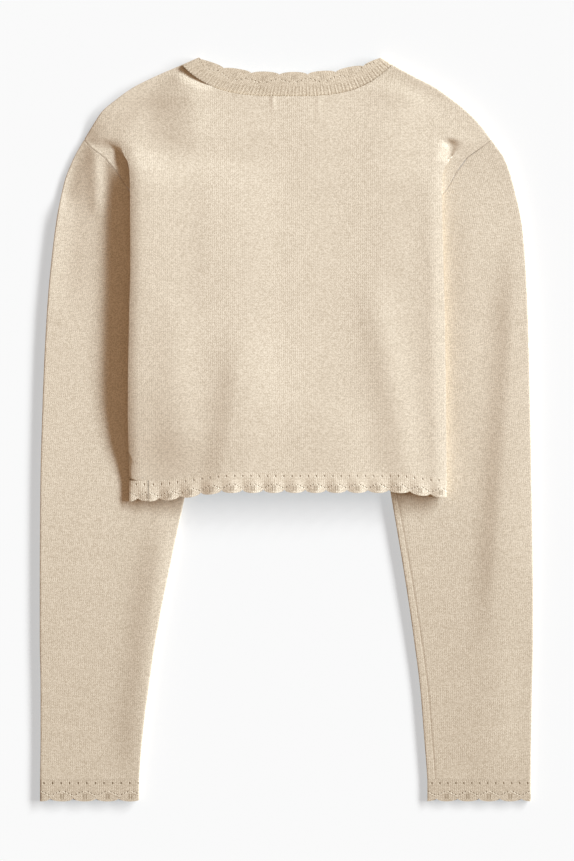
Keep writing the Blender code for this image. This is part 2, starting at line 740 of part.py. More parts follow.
def band_lift(x, y):
    """Height that the bands ride over the buttons beneath them."""
    near = min(abs(y - place) for place in button_places())
    along = 1 - ease((near - 0.0072) / 0.009)
    across = 1 - 0.5 * ease((abs(x) - 0.0066) / 0.0034)
    return (BUTTON_THICK + GAP) * float(along * across)


def build_front_band(name, level, finish):
    """A band down the centre front, from the neckband to the hem edging's end."""
    top = FRONT_NECK_Y - GAP
    bottom = HEM_ROW + FRONT_HEM_SHORT - HEM_TRIM_DEPTH + LOBE
    stations = {top, bottom}
    for place in button_places():
        stations.update(place + step for step in (-0.0165, -0.0071, 0.0071, 0.0165))
    across = (-FRONT_BAND_HALF, -0.0066, 0.0066, FRONT_BAND_HALF)
    rows = []
    for y in sorted((s for s in stations if bottom <= s <= top), reverse=True):
        rows.append([(x, y, level + band_lift(x, y)) for x in reversed(across)])
    down = [(0.0, 0.0, -1.0)] * len(rows)
    cloth(name, rows, finish, ends=(down, down))


def build_buttons(finish):
    shared = None
    for number, y in enumerate(button_places(), start=1):
        name = f"button_{number}"
        if shared is None:
            shape = bmesh.new()
            bmesh.ops.create_cone(
                shape,
                cap_ends=True,
                segments=14,
                radius1=BUTTON_RADIUS,
                radius2=BUTTON_RADIUS,
                depth=BUTTON_THICK,
            )
            shared = bpy.data.meshes.new("button")
            shape.to_mesh(shared)
            shape.free()
            shared.materials.append(finish)
        obj = bpy.data.objects.new(name, shared)
        obj.location = (0.0, y, BUTTON_THICK / 2)
        bpy.context.collection.objects.link(obj)
        bevel = obj.modifiers.new("soft edge", "BEVEL")
        bevel.width = 0.0005
        bevel.segments = 1


def main():
    remove_everything()
    knit = material("champagne_knit", (0.72, 0.63, 0.50), 0.9)
    edging = material("scalloped_edging", (0.70, 0.60, 0.46), 0.9)
    horn = material("button_shell", (0.70, 0.62, 0.50), 0.35)
    build_back(knit)
    build_back_trim(edging)
    for side in ("left", "right"):
        build_front(side, knit)
        build_front_trim(side, edging)
        build_sleeve(side, knit)
        build_cuff_trim(side, edging)
    build_neckband(edging)
    build_front_band("button_band", WALL + CLEAR, knit)
    build_front_band("buttonhole_band", 0.0, knit)
    build_buttons(horn)


main()
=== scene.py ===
"""Looks of a cropped fine-knit cardigan with scalloped edgings, laid face down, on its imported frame."""

import logging
import math
from dataclasses import dataclass, field
from enum import Enum
from typing import NamedTuple, Sequence

import bpy
import numpy as np
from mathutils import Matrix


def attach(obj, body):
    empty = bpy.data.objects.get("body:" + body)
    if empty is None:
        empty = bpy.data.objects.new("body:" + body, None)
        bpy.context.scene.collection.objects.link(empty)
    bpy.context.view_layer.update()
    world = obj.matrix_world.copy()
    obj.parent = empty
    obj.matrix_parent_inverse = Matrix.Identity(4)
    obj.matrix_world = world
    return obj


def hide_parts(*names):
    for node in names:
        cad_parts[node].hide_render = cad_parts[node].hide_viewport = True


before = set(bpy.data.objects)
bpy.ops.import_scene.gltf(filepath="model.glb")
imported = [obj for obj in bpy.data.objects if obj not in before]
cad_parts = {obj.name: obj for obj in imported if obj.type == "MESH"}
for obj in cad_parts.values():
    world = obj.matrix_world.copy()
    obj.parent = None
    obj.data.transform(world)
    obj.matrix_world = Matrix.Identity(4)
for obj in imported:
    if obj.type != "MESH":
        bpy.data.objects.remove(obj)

LOG = logging.getLogger("cardigan")

Array = np.ndarray
Colour = tuple[float, float, float]

MM = 0.001
PIXEL = 0.92 * MM
PHOTO_PIXELS = (574, 861)

# How strongly each channel of a yarn's colour follows its shade: blue most, so that shade looks warm.
WARMING = (0.90, 1.00, 1.14)
# The sockets that every knitted finish shares.
WOOLLY = {"Roughness": 0.92, "Specular IOR Level": 0.2, "Sheen Weight": 0.1, "Sheen Roughness": 0.5}


class Side(Enum):
    """Half of the garment, as it lies with its back up."""

    LEFT = -1
    RIGHT = 1

    @property
    def column(self) -> str:
        """Name of this half's column in the tables."""
        return self.name.lower()


class Yarn(Enum):
    """Which finish a piece of cloth is knitted in."""

    PLAIN = "champagne_knit"
    EDGING = "scalloped_edging"
    SHELL = "button_shell"


# ---------------------------------------------------------------------------------------------
# Curves
# ---------------------------------------------------------------------------------------------


def through(at: Sequence[float], value: Sequence[float], where: Array) -> Array:
    """Smooth curve through points, which never swings past them.

    Args:
        at: Places of the points, rising.
        value: Their values.
        where: Places to read the curve at.

    Returns:
        The curve's values.
    """
    place = np.asarray(at, float)
    level = np.asarray(value, float)
    where = np.clip(where, place[0], place[-1])
    step = np.diff(place)
    slope = np.diff(level) / step
    product = slope[1:] * slope[:-1]
    total = np.where(product > 0, slope[1:] + slope[:-1], 1.0)
    inner = np.where(product > 0, 2 * product / total, 0.0)
    tangent = np.concatenate([slope[:1], inner, slope[-1:]])
    k = np.clip(np.searchsorted(place, where, side="right") - 1, 0, len(step) - 1)
    t = (where - place[k]) / step[k]
    return (
        level[k] * (1 + 2 * t) * (1 - t) ** 2
        + level[k + 1] * t**2 * (3 - 2 * t)
        + step[k] * t * (1 - t) * (tangent[k] * (1 - t) - tangent[k + 1] * t)
    )


def ease(share: Array) -> Array:
    """Smooth step from 0 to 1."""
    share = np.clip(share, 0.0, 1.0)
    return share * share * (3 - 2 * share)


def rise(share: Array, power: float = 2.0) -> Array:
    """How far cloth has come up from a folded edge: 0 there, 1 from its crest inwards.

    Args:
        share: Distance from the edge, as a share of the rounding.
        power: 2 for a quarter round, more for a squarer edge.

    Returns:
        The share of the height.
    """
    share = np.clip(share, 0.0, 1.0)
    return (1 - (1 - share) ** power) ** (1 / power)


def unit(vectors: Array) -> Array:
    """Vectors of length one."""
    return vectors / np.maximum(np.linalg.norm(vectors, axis=-1, keepdims=True), 1e-12)


def run_length(*parts: Array) -> Array:
    """Length along each row of points, from its first point.

    Args:
        parts: The coordinates that count, each with a row of points on its last axis.

    Returns:
        The running lengths, in the shape of one part.
    """
    step = np.sqrt(sum(np.diff(part, axis=-1) ** 2 for part in parts))
    return np.concatenate([np.zeros((*step.shape[:-1], 1)), np.cumsum(step, axis=-1)], axis=-1)


def lobe(place: Array) -> Array:
    """Round of one scallop: 1 at whole numbers, which are the scallops' middles, and 0 between two."""
    off = np.mod(place + 0.5, 1.0) - 0.5
    return np.sqrt(np.clip(1 - (2 * off) ** 2, 0.0, 1.0))


# ---------------------------------------------------------------------------------------------
# The laid shape, as in the solids
# ---------------------------------------------------------------------------------------------


class Edge(NamedTuple):
    """Place across the garment of a line on each half, at one place along it."""

    y: float
    left: float
    right: float


class Tube(NamedTuple):
    """A flattened sleeve at one place along it."""

    y: float
    outer: float
    inner: float
    height: float


class Heights(NamedTuple):
    """Height of the back's outer face across the garment, at one place along it."""

    y: float
    left_crest: float
    left_side: float
    middle: float
    right_side: float
    right_crest: float


class SideFold(NamedTuple):
    """Outermost line of the body's side folds, at one place along it."""

    y: float
    left: float
    right: float


class Crease(NamedTuple):
    """A soft ridge, or a trough where its height is negative, through points (y, x) from the top down.

    Its left and right sides fall away over their own distances, so one can be steep and one gentle.

    Attributes:
        path: Three points of its crest.
        left: Distance over which it falls away to the left.
        right: The same to the right.
        height: Height of the crest.
    """

    path: tuple[tuple[float, float], ...]
    left: float
    right: float
    height: float


class Turning(NamedTuple):
    """A point of a turned button's profile: its share of the radius, and its height."""

    share: float
    z: float


def lookup(table: Sequence[NamedTuple], column: str, y: Array) -> Array:
    """One column of a table of rows, on a smooth curve.

    Args:
        table: Rows with a field y.
        column: Name of the field to read.
        y: Places along the garment.

    Returns:
        The values there.
    """
    rows = sorted(table, key=lambda row: row.y)
    return through([row.y for row in rows], [getattr(row, column) for row in rows], y)


def between(table: Sequence[NamedTuple], column: str, y: Array) -> Array:
    """The same as lookup, in straight lines from row to row.

    Args:
        table: Rows with a field y.
        column: Name of the field to read.
        y: Places along the garment.

    Returns:
        The values there.
    """
    rows = sorted(table, key=lambda row: row.y)
    return np.interp(y, [row.y for row in rows], [getattr(row, column) for row in rows])


def creased(creases: Sequence[Crease], x: Array, y: Array) -> Array:
    """Height that creases add.

    Args:
        creases: The ridges and troughs.
        x: Places across the garment.
        y: Places along it.

    Returns:
        Their sum at each place.
    """
    x, y = np.broadcast_arrays(x, y)
    total = np.zeros(x.shape)
    for crease in creases:
        along, across = (np.array(part) for part in zip(*crease.path[::-1]))
        lean = (across[-1] - across[0]) / (along[-1] - along[0])
        off = (x - through(along, across, y)) / math.hypot(1, lean)
        share = (y - along[0]) / (along[-1] - along[0])
        ends = ease(share / 0.25) * ease((1 - share) / 0.25)
        spread = np.where(off < 0, crease.left, crease.right)
        total = total + crease.height * ends * np.exp(-((off / spread) ** 2))
    return total


SHOULDER = (
    Edge(0.3350, -0.0970, 0.0970),
    Edge(0.3252, -0.1196, 0.1150),
    Edge(0.3142, -0.1417, 0.1362),
    Edge(0.3031, -0.1573, 0.1518),
    Edge(0.2921, -0.1702, 0.1656),
    Edge(0.2811, -0.1776, 0.1766),
    Edge(0.2663, -0.1868, 0.1880),
)
ARMHOLE = (
    Edge(0.2663, -0.1868, 0.1880),
    Edge(0.2590, -0.1794, 0.1785),
    Edge(0.2498, -0.1674, 0.1655),
    Edge(0.2369, -0.1564, 0.1560),
    Edge(0.2249, -0.1490, 0.1495),
    Edge(0.2140, -0.1395, 0.1420),
    Edge(0.1900, -0.1200, 0.1220),
    Edge(0.1500, -0.0890, 0.0930),
    Edge(0.1100, -0.0598, 0.0635),
)
SIDE_SEAM = (
    Edge(0.1100, -0.0598, 0.0635),
    Edge(0.0800, -0.0840, 0.0880),
    Edge(0.0500, -0.1090, 0.1120),
    Edge(0.0150, -0.1405, 0.1398),
    Edge(-0.0600, -0.1405, 0.1398),
)
SEAM_TURN = (
    Edge(0.0150, 1.00, 1.00),
    Edge(-0.0050, 1.60, 1.25),
    Edge(-0.0230, 2.80, 1.55),
    Edge(-0.0391, 3.05, 1.80),
    Edge(-0.0600, 3.05, 1.80),
)
LEFT_SLEEVE = (
    Tube(0.2663, -0.1868, -0.0287, 0.0050),
    Tube(0.2479, -0.1969, -0.0324, 0.0058),
    Tube(0.2259, -0.2052, -0.0367, 0.0062),
    Tube(0.1817, -0.2134, -0.0455, 0.0060),
    Tube(0.1099, -0.2205, -0.0598, 0.0058),
    Tube(0.0271, -0.2245, -0.0763, 0.0055),
    Tube(-0.0612, -0.2268, -0.0938, 0.0052),
    Tube(-0.1495, -0.2272, -0.1122, 0.0052),
    Tube(-0.1937, -0.2272, -0.1205, 0.0051),
    Tube(-0.2378, -0.2265, -0.1270, 0.0050),
    Tube(-0.2820, -0.2265, -0.1325, 0.0048),
    Tube(-0.3215, -0.2270, -0.1357, 0.0048),
    Tube(-0.3450, -0.2275, -0.1366, 0.0047),
)
RIGHT_SLEEVE = (
    Tube(0.2663, 0.1880, 0.0326, 0.0084),
    Tube(0.2479, 0.2006, 0.0375, 0.0078),
    Tube(0.2259, 0.2079, 0.0417, 0.0072),
    Tube(0.1817, 0.2171, 0.0500, 0.0068),
    Tube(0.1099, 0.2215, 0.0635, 0.0062),
    Tube(0.0271, 0.2236, 0.0791, 0.0058),
    Tube(-0.0612, 0.2252, 0.0957, 0.0053),
    Tube(-0.1495, 0.2263, 0.1104, 0.0048),
    Tube(-0.1937, 0.2263, 0.1168, 0.0044),
    Tube(-0.2378, 0.2254, 0.1224, 0.0041),
    Tube(-0.2820, 0.2247, 0.1260, 0.0040),
    Tube(-0.3215, 0.2242, 0.1290, 0.0039),
    Tube(-0.3450, 0.2242, 0.1300, 0.0038),
)
BODY_FOLD = (
    SideFold(0.2700, -0.1512, 0.1412),
    SideFold(0.2654, -0.1514, 0.1440),
    SideFold(0.2600, -0.1522, 0.1474),
    SideFold(0.2562, -0.1516, 0.1492),
    SideFold(0.2507, -0.1490, 0.1500),
    SideFold(0.2450, -0.1460, 0.1482),
    SideFold(0.2400, -0.1450, 0.1446),
    SideFold(0.2341, -0.1444, 0.1428),
    SideFold(0.2203, -0.1440, 0.1422),
    SideFold(0.1560, -0.1436, 0.1434),
    SideFold(0.1000, -0.1448, 0.1448),
    SideFold(0.0200, -0.1460, 0.1458),
    SideFold(-0.0250, -0.1452, 0.1462),
    SideFold(-0.0600, -0.1440, 0.1464),
)
BACK_HEIGHT = (
    Heights(0.3350, 0.0066, 0.0084, 0.0092, 0.0084, 0.0068),
    Heights(0.3000, 0.0055, 0.0106, 0.0112, 0.0103, 0.0085),
    Heights(0.2700, 0.0080, 0.0134, 0.0129, 0.0120, 0.0094),
    Heights(0.2480, 0.0146, 0.0147, 0.0134, 0.0129, 0.0116),
    Heights(0.2369, 0.0176, 0.0162, 0.0139, 0.0134, 0.0128),
    Heights(0.2200, 0.0192, 0.0176, 0.0143, 0.0139, 0.0136),
    Heights(0.1500, 0.0200, 0.0188, 0.0158, 0.0150, 0.0143),
    Heights(0.0500, 0.0196, 0.0186, 0.0160, 0.0152, 0.0143),
    Heights(0.0000, 0.0164, 0.0170, 0.0156, 0.0150, 0.0140),
    Heights(-0.0391, 0.0116, 0.0142, 0.0150, 0.0146, 0.0136),
    Heights(-0.0600, 0.0106, 0.0138, 0.0150, 0.0146, 0.0134),
)
HEIGHT_X = (-0.1320, -0.0800, 0.0, 0.0800, 0.1320)

BODY_CREASES = (
    Crease(((0.130, -0.100), (0.040, -0.102), (-0.040, -0.098)), 0.018, 0.022, 0.0010),
    Crease(((0.110, -0.038), (0.000, -0.050), (-0.160, -0.098)), 0.016, 0.045, 0.0021),
    Crease(((0.250, -0.025), (0.120, -0.025), (-0.020, -0.035)), 0.040, 0.040, 0.0012),
    Crease(((0.160, 0.070), (0.045, 0.095), (-0.130, 0.128)), 0.016, 0.016, 0.0012),
    Crease(((0.255, 0.134), (0.120, 0.134), (-0.120, 0.141)), 0.010, 0.010, 0.0004),
    Crease(((0.040, 0.048), (-0.030, 0.052), (-0.140, 0.058)), 0.060, 0.022, 0.0010),
    Crease(((0.325, 0.070), (0.300, 0.110), (0.240, 0.130)), 0.020, 0.020, 0.0008),
    Crease(((0.320, -0.100), (0.285, -0.124), (0.252, -0.133)), 0.026, 0.026, 0.0015),
    Crease(((0.314, -0.014), (0.303, -0.013), (0.289, -0.0125)), 0.0012, 0.0012, 0.0005),
    Crease(((0.314, 0.029), (0.300, 0.029), (0.284, 0.0285)), 0.0014, 0.0014, 0.0004),
    Crease(((0.268, 0.1475), (0.257, 0.1515), (0.246, 0.1515)), 0.006, 0.006, -0.0030),
)
SLEEVE_CREASES = (
    Crease(((0.270, -0.178), (0.250, -0.1755), (0.190, -0.174)), 0.0065, 0.0065, 0.0012),
    Crease(((0.266, -0.164), (0.245, -0.156), (0.220, -0.150)), 0.009, 0.009, 0.0028),
    Crease(((0.292, -0.180), (0.250, -0.196), (0.195, -0.210)), 0.012, 0.012, -0.0028),
    Crease(((0.265, -0.192), (0.200, -0.196), (0.100, -0.205)), 0.015, 0.014, -0.0010),
    Crease(((-0.060, -0.108), (-0.180, -0.126), (-0.335, -0.142)), 0.016, 0.012, 0.0020),
    Crease(((0.200, 0.214), (0.040, 0.205), (-0.215, 0.186)), 0.015, 0.040, 0.0026),
    Crease(((0.240, 0.167), (0.120, 0.166), (-0.030, 0.160)), 0.018, 0.030, 0.0010),
    Crease(((-0.140, 0.196), (-0.230, 0.192), (-0.340, 0.190)), 0.030, 0.020, 0.0008),
)

BUTTON_PROFILE = (
    Turning(0.00, 0.0004),
    Turning(0.42, 0.0004),
    Turning(0.60, 0.0003),
    Turning(0.72, 0.0000),
    Turning(0.90, 0.0000),
    Turning(1.00, 0.0005),
    Turning(1.00, 0.0012),
    Turning(0.92, 0.0018),
    Turning(0.00, 0.0018),
)


@dataclass(frozen=True)
class LaidShape:
    """How the garment lies: the height and outline of each layer, with the solids' own sizes.

    Attributes:
        neck_row: Row of the neck points.
        neck_half: Half the distance between them.
        back_neck_y: Place of the back's neck seam at the centre back.
        front_neck_y: Place of the front's at the centre front.
        back_neck_power: How square the back's neckline is.
        front_neck_power: How square the front's is.
        neck_bend: Row above which the back's rows bend down towards its neckline.
        hem_row: Row of the hem seam.
        cuff_row: Row of the cuff seams.
        hem_bend: Row below which the rows bend towards the hem's own curve.
        hem_blend: Distance over which they do.
        left_drop: How far the hem hangs down at its left corner.
        left_drop_from: Where across the garment that begins.
        left_drop_over: Distance over which it grows.
        right_drop: How far the hem hangs down at its right corner.
        right_drop_from: Where across the garment that begins.
        right_drop_over: Distance over which it grows.
        front_hem_short: How much higher a front's hem is between the side seams.
        front_hem_over: Distance from the side over which it gets there.
        centre_half: Half the width of the bands.
        crossing: Row where the body's edge crosses over the sleeve's.
        rim_share: Height of the outline, as a share of the sleeve's.
        squareness: How square the sleeve's edges are.
        edge_round: Distance over which the outline rises to the upper face.
        edge_under: The same for the lower face.
        fold_under: Width of the side folds' round, beneath.
        fold_spread: Least width, above the folds, of the cloth that they turn under lower down.
        fold_tail: Width there between the lines of the fold's outermost edge and its crest.
        fold_join: Distance over which the back meets the sleeve's height.
        drape: Distance over which a front comes down from the sleeve beneath it.
        drape_from: How far outside the sleeve's inner edge that begins.
        drape_over: Distance along the garment over which the sleeve begins to carry the front.
        lap_from: How far before the centre front the lap of the left front begins.
        lap_over: Distance over which it is full.
        edge_curve: How round the outermost edge of a side fold is.
        clear: Space between two layers.
        wall: Thickness of the solids' cloth.
        gap: Space at a seam.
        sleeves: Outline and height of each sleeve.
        fold_start: Row where each side fold begins.
        fold_full: Row from which it is complete.
        fold_round: Width of its round.
        fold_lip: How far its edge lies below its crest.
    """

    neck_row: float = 0.3350
    neck_half: float = 0.0970
    back_neck_y: float = 0.3059
    front_neck_y: float = 0.2450
    back_neck_power: float = 3.4
    front_neck_power: float = 2.4
    neck_bend: float = 0.2500
    hem_row: float = -0.0391
    cuff_row: float = -0.3215
    hem_bend: float = 0.0600
    hem_blend: float = 0.0950
    left_drop: float = 0.0078
    left_drop_from: float = -0.0500
    left_drop_over: float = 0.0750
    right_drop: float = 0.0041
    right_drop_from: float = 0.1000
    right_drop_over: float = 0.0400
    front_hem_short: float = 0.0025
    front_hem_over: float = 0.0400
    centre_half: float = 0.0100
    crossing: float = 0.2145
    rim_share: float = 0.80
    squareness: float = 4.0
    edge_round: float = 0.0028
    edge_under: float = 0.0035
    fold_under: float = 0.0060
    fold_spread: float = 0.0160
    fold_tail: float = 0.0140
    fold_join: float = 0.0400
    drape: float = 0.0180
    drape_from: float = 0.0010
    drape_over: float = 0.0400
    lap_from: float = 0.0320
    lap_over: float = 0.0180
    edge_curve: float = 0.08
    clear: float = 0.0008
    wall: float = 0.0016
    gap: float = 0.00006
    sleeves: dict[Side, tuple[Tube, ...]] = field(
        default_factory=lambda: {Side.LEFT: LEFT_SLEEVE, Side.RIGHT: RIGHT_SLEEVE}
    )
    fold_start: dict[Side, float] = field(default_factory=lambda: {Side.LEFT: 0.2700, Side.RIGHT: 0.2640})
    fold_full: dict[Side, float] = field(default_factory=lambda: {Side.LEFT: 0.2440, Side.RIGHT: 0.2390})
    fold_round: dict[Side, float] = field(default_factory=lambda: {Side.LEFT: 0.0110, Side.RIGHT: 0.0145})
    fold_lip: dict[Side, float] = field(default_factory=lambda: {Side.LEFT: 0.0017, Side.RIGHT: 0.0011})

    @property
    def shoulder_y(self) -> float:
        """Where along the garment the armholes begin."""
        return ARMHOLE[0].y

    @property
    def underarm_y(self) -> float:
        """Where along the garment the armholes end."""
        return ARMHOLE[-1].y

    def outline(self, side: Side, y: Array) -> Array:
        """Outer edge: the shoulder, then the sleeve."""
        sleeve = lookup(self.sleeves[side], "outer", y)
        return np.where(y > self.shoulder_y, lookup(SHOULDER, side.column, y), sleeve)

    def inner_edge(self, side: Side, y: Array) -> Array:
        """Inner edge of a sleeve."""
        return lookup(self.sleeves[side], "inner", y)

    def sleeve_height(self, side: Side, y: Array) -> Array:
        """Height of a sleeve's upper face away from its edges."""
        return lookup(self.sleeves[side], "height", y)

    def edge_share(self, side: Side, x: Array, y: Array) -> Array:
        """How far in from the outline a point is, square to it, as a share of the rounding.

        Args:
            side: Half of the garment.
            x: Places across it.
            y: Places along it.

        Returns:
            The shares, 0 on the outline.
        """
        step = 0.002
        lean = (self.outline(side, y + step) - self.outline(side, y - step)) / (2 * step)
        inwards = (self.outline(side, y) - x) * side.value
        return inwards / np.sqrt(1 + lean**2) / self.edge_round

    def crown(self, side: Side, x: Array, y: Array) -> Array:
        """Upper face of a sleeve away from its edges."""
        return self.sleeve_height(side, y) + creased(SLEEVE_CREASES, x, y)

    def rim(self, side: Side, y: Array) -> Array:
        """Height of the outline."""
        return self.crown(side, self.outline(side, y), y) * self.rim_share

    def sleeve_top(self, side: Side, x: Array, y: Array) -> Array:
        """Upper face of a sleeve.

        Args:
            side: Half of the garment.
            x: Places across it.
            y: Places along it.

        Returns:
            The heights.
        """
        inwards = (x - self.inner_edge(side, y)) * side.value / self.edge_round
        ends = rise(self.edge_share(side, x, y), self.squareness) * rise(inwards, self.squareness)
        return self.crown(side, x, y) * (self.rim_share + (1 - self.rim_share) * ends)

    def sleeve_under(self, side: Side, x: Array, y: Array) -> Array:
        """Lower face of a sleeve: flat on the surface, turned up at its edges.

        Args:
            side: Half of the garment.
            x: Places across it.
            y: Places along it.

        Returns:
            The heights.
        """
        inner = self.inner_edge(side, y)
        share = self.edge_round / self.edge_under
        ends = rise(self.edge_share(side, x, y) * share) * rise((x - inner) * side.value / self.edge_under)
        return self.crown(side, x, y) * self.rim_share * (1 - ends)

    def back_height(self, x: Array, y: Array) -> Array:
        """Outer face of the back away from its edges.

        Args:
            x: Places across the garment.
            y: Places along it.

        Returns:
            The heights.
        """
        x, y = np.broadcast_arrays(x, y)
        places = [lookup(BACK_HEIGHT, name, y) for name in Heights._fields[1:]]
        held = np.clip(x, HEIGHT_X[0], HEIGHT_X[-1])
        k = np.clip(np.searchsorted(HEIGHT_X, held, side="right") - 1, 0, 3)
        t = (held - np.take(HEIGHT_X, k)) / np.take(np.diff(HEIGHT_X), k)
        low = np.choose(k, places[:-1])
        high = np.choose(k, places[1:])
        return low + (high - low) * ease(t) + creased(BODY_CREASES, x, y)

    def neck_dip(self, x: Array) -> Array:
        """How far below the neck points the back's neck seam runs."""
        share = np.clip(np.abs(x) / self.neck_half, 0.0, 1.0)
        return (self.neck_row - self.back_neck_y) * (1 - share**self.back_neck_power)

    def hem_drop(self, x: Array) -> Array:
        """How far below the middle the hem hangs at its corners."""
        left = self.left_drop * ease((self.left_drop_from - x) / self.left_drop_over)
        return left + self.right_drop * ease((x - self.right_drop_from) / self.right_drop_over)

    def back_y(self, x: Array, row: Array) -> Array:
        """Place along the garment of a point on one of the back's rows.

        Args:
            x: Places across the garment.
            row: Rows of the back, by their place along the garment.

        Returns:
            The places.
        """
        neck = ease((row - self.neck_bend) / (self.neck_row - self.neck_bend))
        hem = ease((self.hem_bend - row) / self.hem_blend)
        return row - self.neck_dip(x) * neck - self.hem_drop(x) * hem

    def front_y(self, x: Array, row: Array, edge: Array) -> Array:
        """The same for a front, which ends a little higher between the side seams.

        Args:
            x: Places across the garment.
            row: The front's rows, by their place along the garment.
            edge: Place across of the row's side end.

        Returns:
            The places.
        """
        hem = ease((self.hem_bend - row) / self.hem_blend)
        inside = ease((np.abs(edge) - np.abs(x)) / self.front_hem_over)
        return row + (self.front_hem_short * inside - self.hem_drop(x)) * hem

    def body_edge(self, side: Side, y: Array) -> Array:
        """Edge of the back: shoulder, armhole, then side seam.

        Args:
            side: Half of the garment.
            y: Places along it.

        Returns:
            The edge's places across the garment.
        """
        armhole = between(ARMHOLE, side.column, y)
        below = np.where(y > self.underarm_y, armhole, between(SIDE_SEAM, side.column, y))
        return np.where(y > self.shoulder_y, lookup(SHOULDER, side.column, y), below)

    def seam_turn(self, side: Side, row: Array) -> Array:
        """Where on the fold the side seam is, once it has left the underside."""
        return np.where(row > SEAM_TURN[0].y + 1e-6, 0.0, between(SEAM_TURN, side.column, row))

    def back_point(self, side: Side, row: Array, turn: Array) -> tuple[Array, Array, Array]:
        """Point of the back's outer face on one half of a row.

        Args:
            side: Which half.
            row: The row, named by its place at the neck points or at the middle of the hem.
            turn: 0 at the seam edge, 1 under the side fold, 2 at its outermost line, 3 at its crest
                and 4 at the centre back.

        Returns:
            The three coordinates.
        """
        row, turn = np.broadcast_arrays(row, turn)
        sign = side.value
        apart = np.where(
            row > self.shoulder_y, 0.0, np.where(row > self.crossing, self.gap, -self.gap / 2)
        )
        edge = self.body_edge(side, row) - sign * apart
        fold_x = lookup(BODY_FOLD, side.column, row)
        spread = np.maximum(self.fold_spread, (edge - fold_x) * sign)
        first = np.clip(turn, 0, 2) / 2
        tail = self.fold_tail * np.clip(turn - 2, 0, 1)
        flat_x = edge - sign * (spread * first * (0.8 + 0.2 * first) + tail)
        flat_x = np.where(turn > 3, flat_x * (4 - turn), flat_x)
        y = self.back_y(flat_x, row)
        into = ease((edge - flat_x) * sign / self.fold_join)
        beside = self.crown(side, flat_x, y)
        inside = beside + (self.back_height(flat_x, y) - beside) * into
        ends = rise(self.edge_share(side, flat_x, y), self.squareness)
        flat_z = inside * (self.rim_share + (1 - self.rim_share) * ends)

        fold_round = self.fold_round[side]
        fold_z = self.back_height(fold_x, self.back_y(fold_x, row)) - self.fold_lip[side]
        low = self.sleeve_height(side, row) + self.clear
        turn_z = low
        seam_z = np.where(row > self.crossing, self.sleeve_top(side, edge, row), low)
        lower = np.clip(turn - 1, 0, 1) * math.pi / 2
        upper = np.clip(turn - 2, 0, 1) * math.pi / 2
        under_x = fold_x - sign * self.fold_under
        crest_x = fold_x - sign * fold_round
        round_x = fold_x - sign * self.fold_under * (1 - np.sin(lower))
        hidden_x = np.where(turn < 1, edge + (under_x - edge) * turn, round_x)
        fold_top = fold_x - sign * fold_round * (1 - np.cos(upper))
        seen_x = np.where(turn < 3, fold_top, crest_x * (4 - turn))
        inwards = 1 - np.cos(upper)
        climb = self.edge_curve * np.sin(upper) + (1 - self.edge_curve) * inwards * (2 - inwards)
        x = np.where(turn < 2, hidden_x, seen_x)
        top = self.back_height(x, self.back_y(x, row))
        hidden_z = np.where(
            turn < 1,
            seam_z + (turn_z - seam_z) * ease(turn),
            turn_z + (fold_z - turn_z) * (1 - np.cos(lower)),
        )
        z = np.where(turn < 2, hidden_z, fold_z + (top - fold_z) * climb)
        full = ease((self.fold_start[side] - row) / (self.fold_start[side] - self.fold_full[side]))
        x = flat_x + (x - flat_x) * full
        z = flat_z + (z - flat_z) * full
        return x, self.back_y(x, row), z

    def front_under(self, side: Side, x: Array, y: Array) -> Array:
        """Outer (lower) face of a front: on the surface, or over the sleeve beneath it.

        Args:
            side: Half of the garment.
            x: Places across it.
            y: Places along it.

        Returns:
            The heights.
        """
        sign = side.value
        start = np.where(
            y > self.underarm_y, between(ARMHOLE, side.column, y), self.inner_edge(side, y)
        )
        lift = ease((self.underarm_y + self.drape_over - y) / self.drape_over)
        over = (self.sleeve_height(side, y) + self.clear) * lift
        z = over * (1 - ease((start - x + sign * self.drape_from) * sign / self.drape))
        shoulder = np.where(
            y > self.shoulder_y, self.edge_share(side, x, y) * self.edge_round / self.edge_under, 1.0
        )
        z = z + (self.rim(side, y) - self.gap) * (1 - rise(shoulder))
        return z + self.lap(x) if side is Side.LEFT else z

    def lap(self, x: Array) -> Array:
        """Height at which the left front laps over the right one."""
        return (self.wall + self.clear) * ease((x + self.lap_from) / self.lap_over)

    def front_neck_x(self, y: Array) -> Array:
        """Half width of the front neckline."""
        share = np.clip((y - self.front_neck_y) / (self.neck_row - self.front_neck_y), 0.0, 1.0)
        return self.neck_half * share ** (1 / self.front_neck_power)

    def seam_facing(self, side: Side, row: float) -> Array:
        """Outward direction of the cloth at the back's side edge, across the garment.

        Args:
            side: Half of the garment.
            row: The row.

        Returns:
            The direction.
        """
        start = float(self.seam_turn(side, np.array(row)))
        turns = np.array([max(start - 0.02, 0.0), start + 0.02])
        x, _, z = self.back_point(side, np.full(2, row), turns)
        return unit(np.array([z[0] - z[1], 0.0, x[1] - x[0]])) * -side.value


# ---------------------------------------------------------------------------------------------
# Shells of cloth
# ---------------------------------------------------------------------------------------------


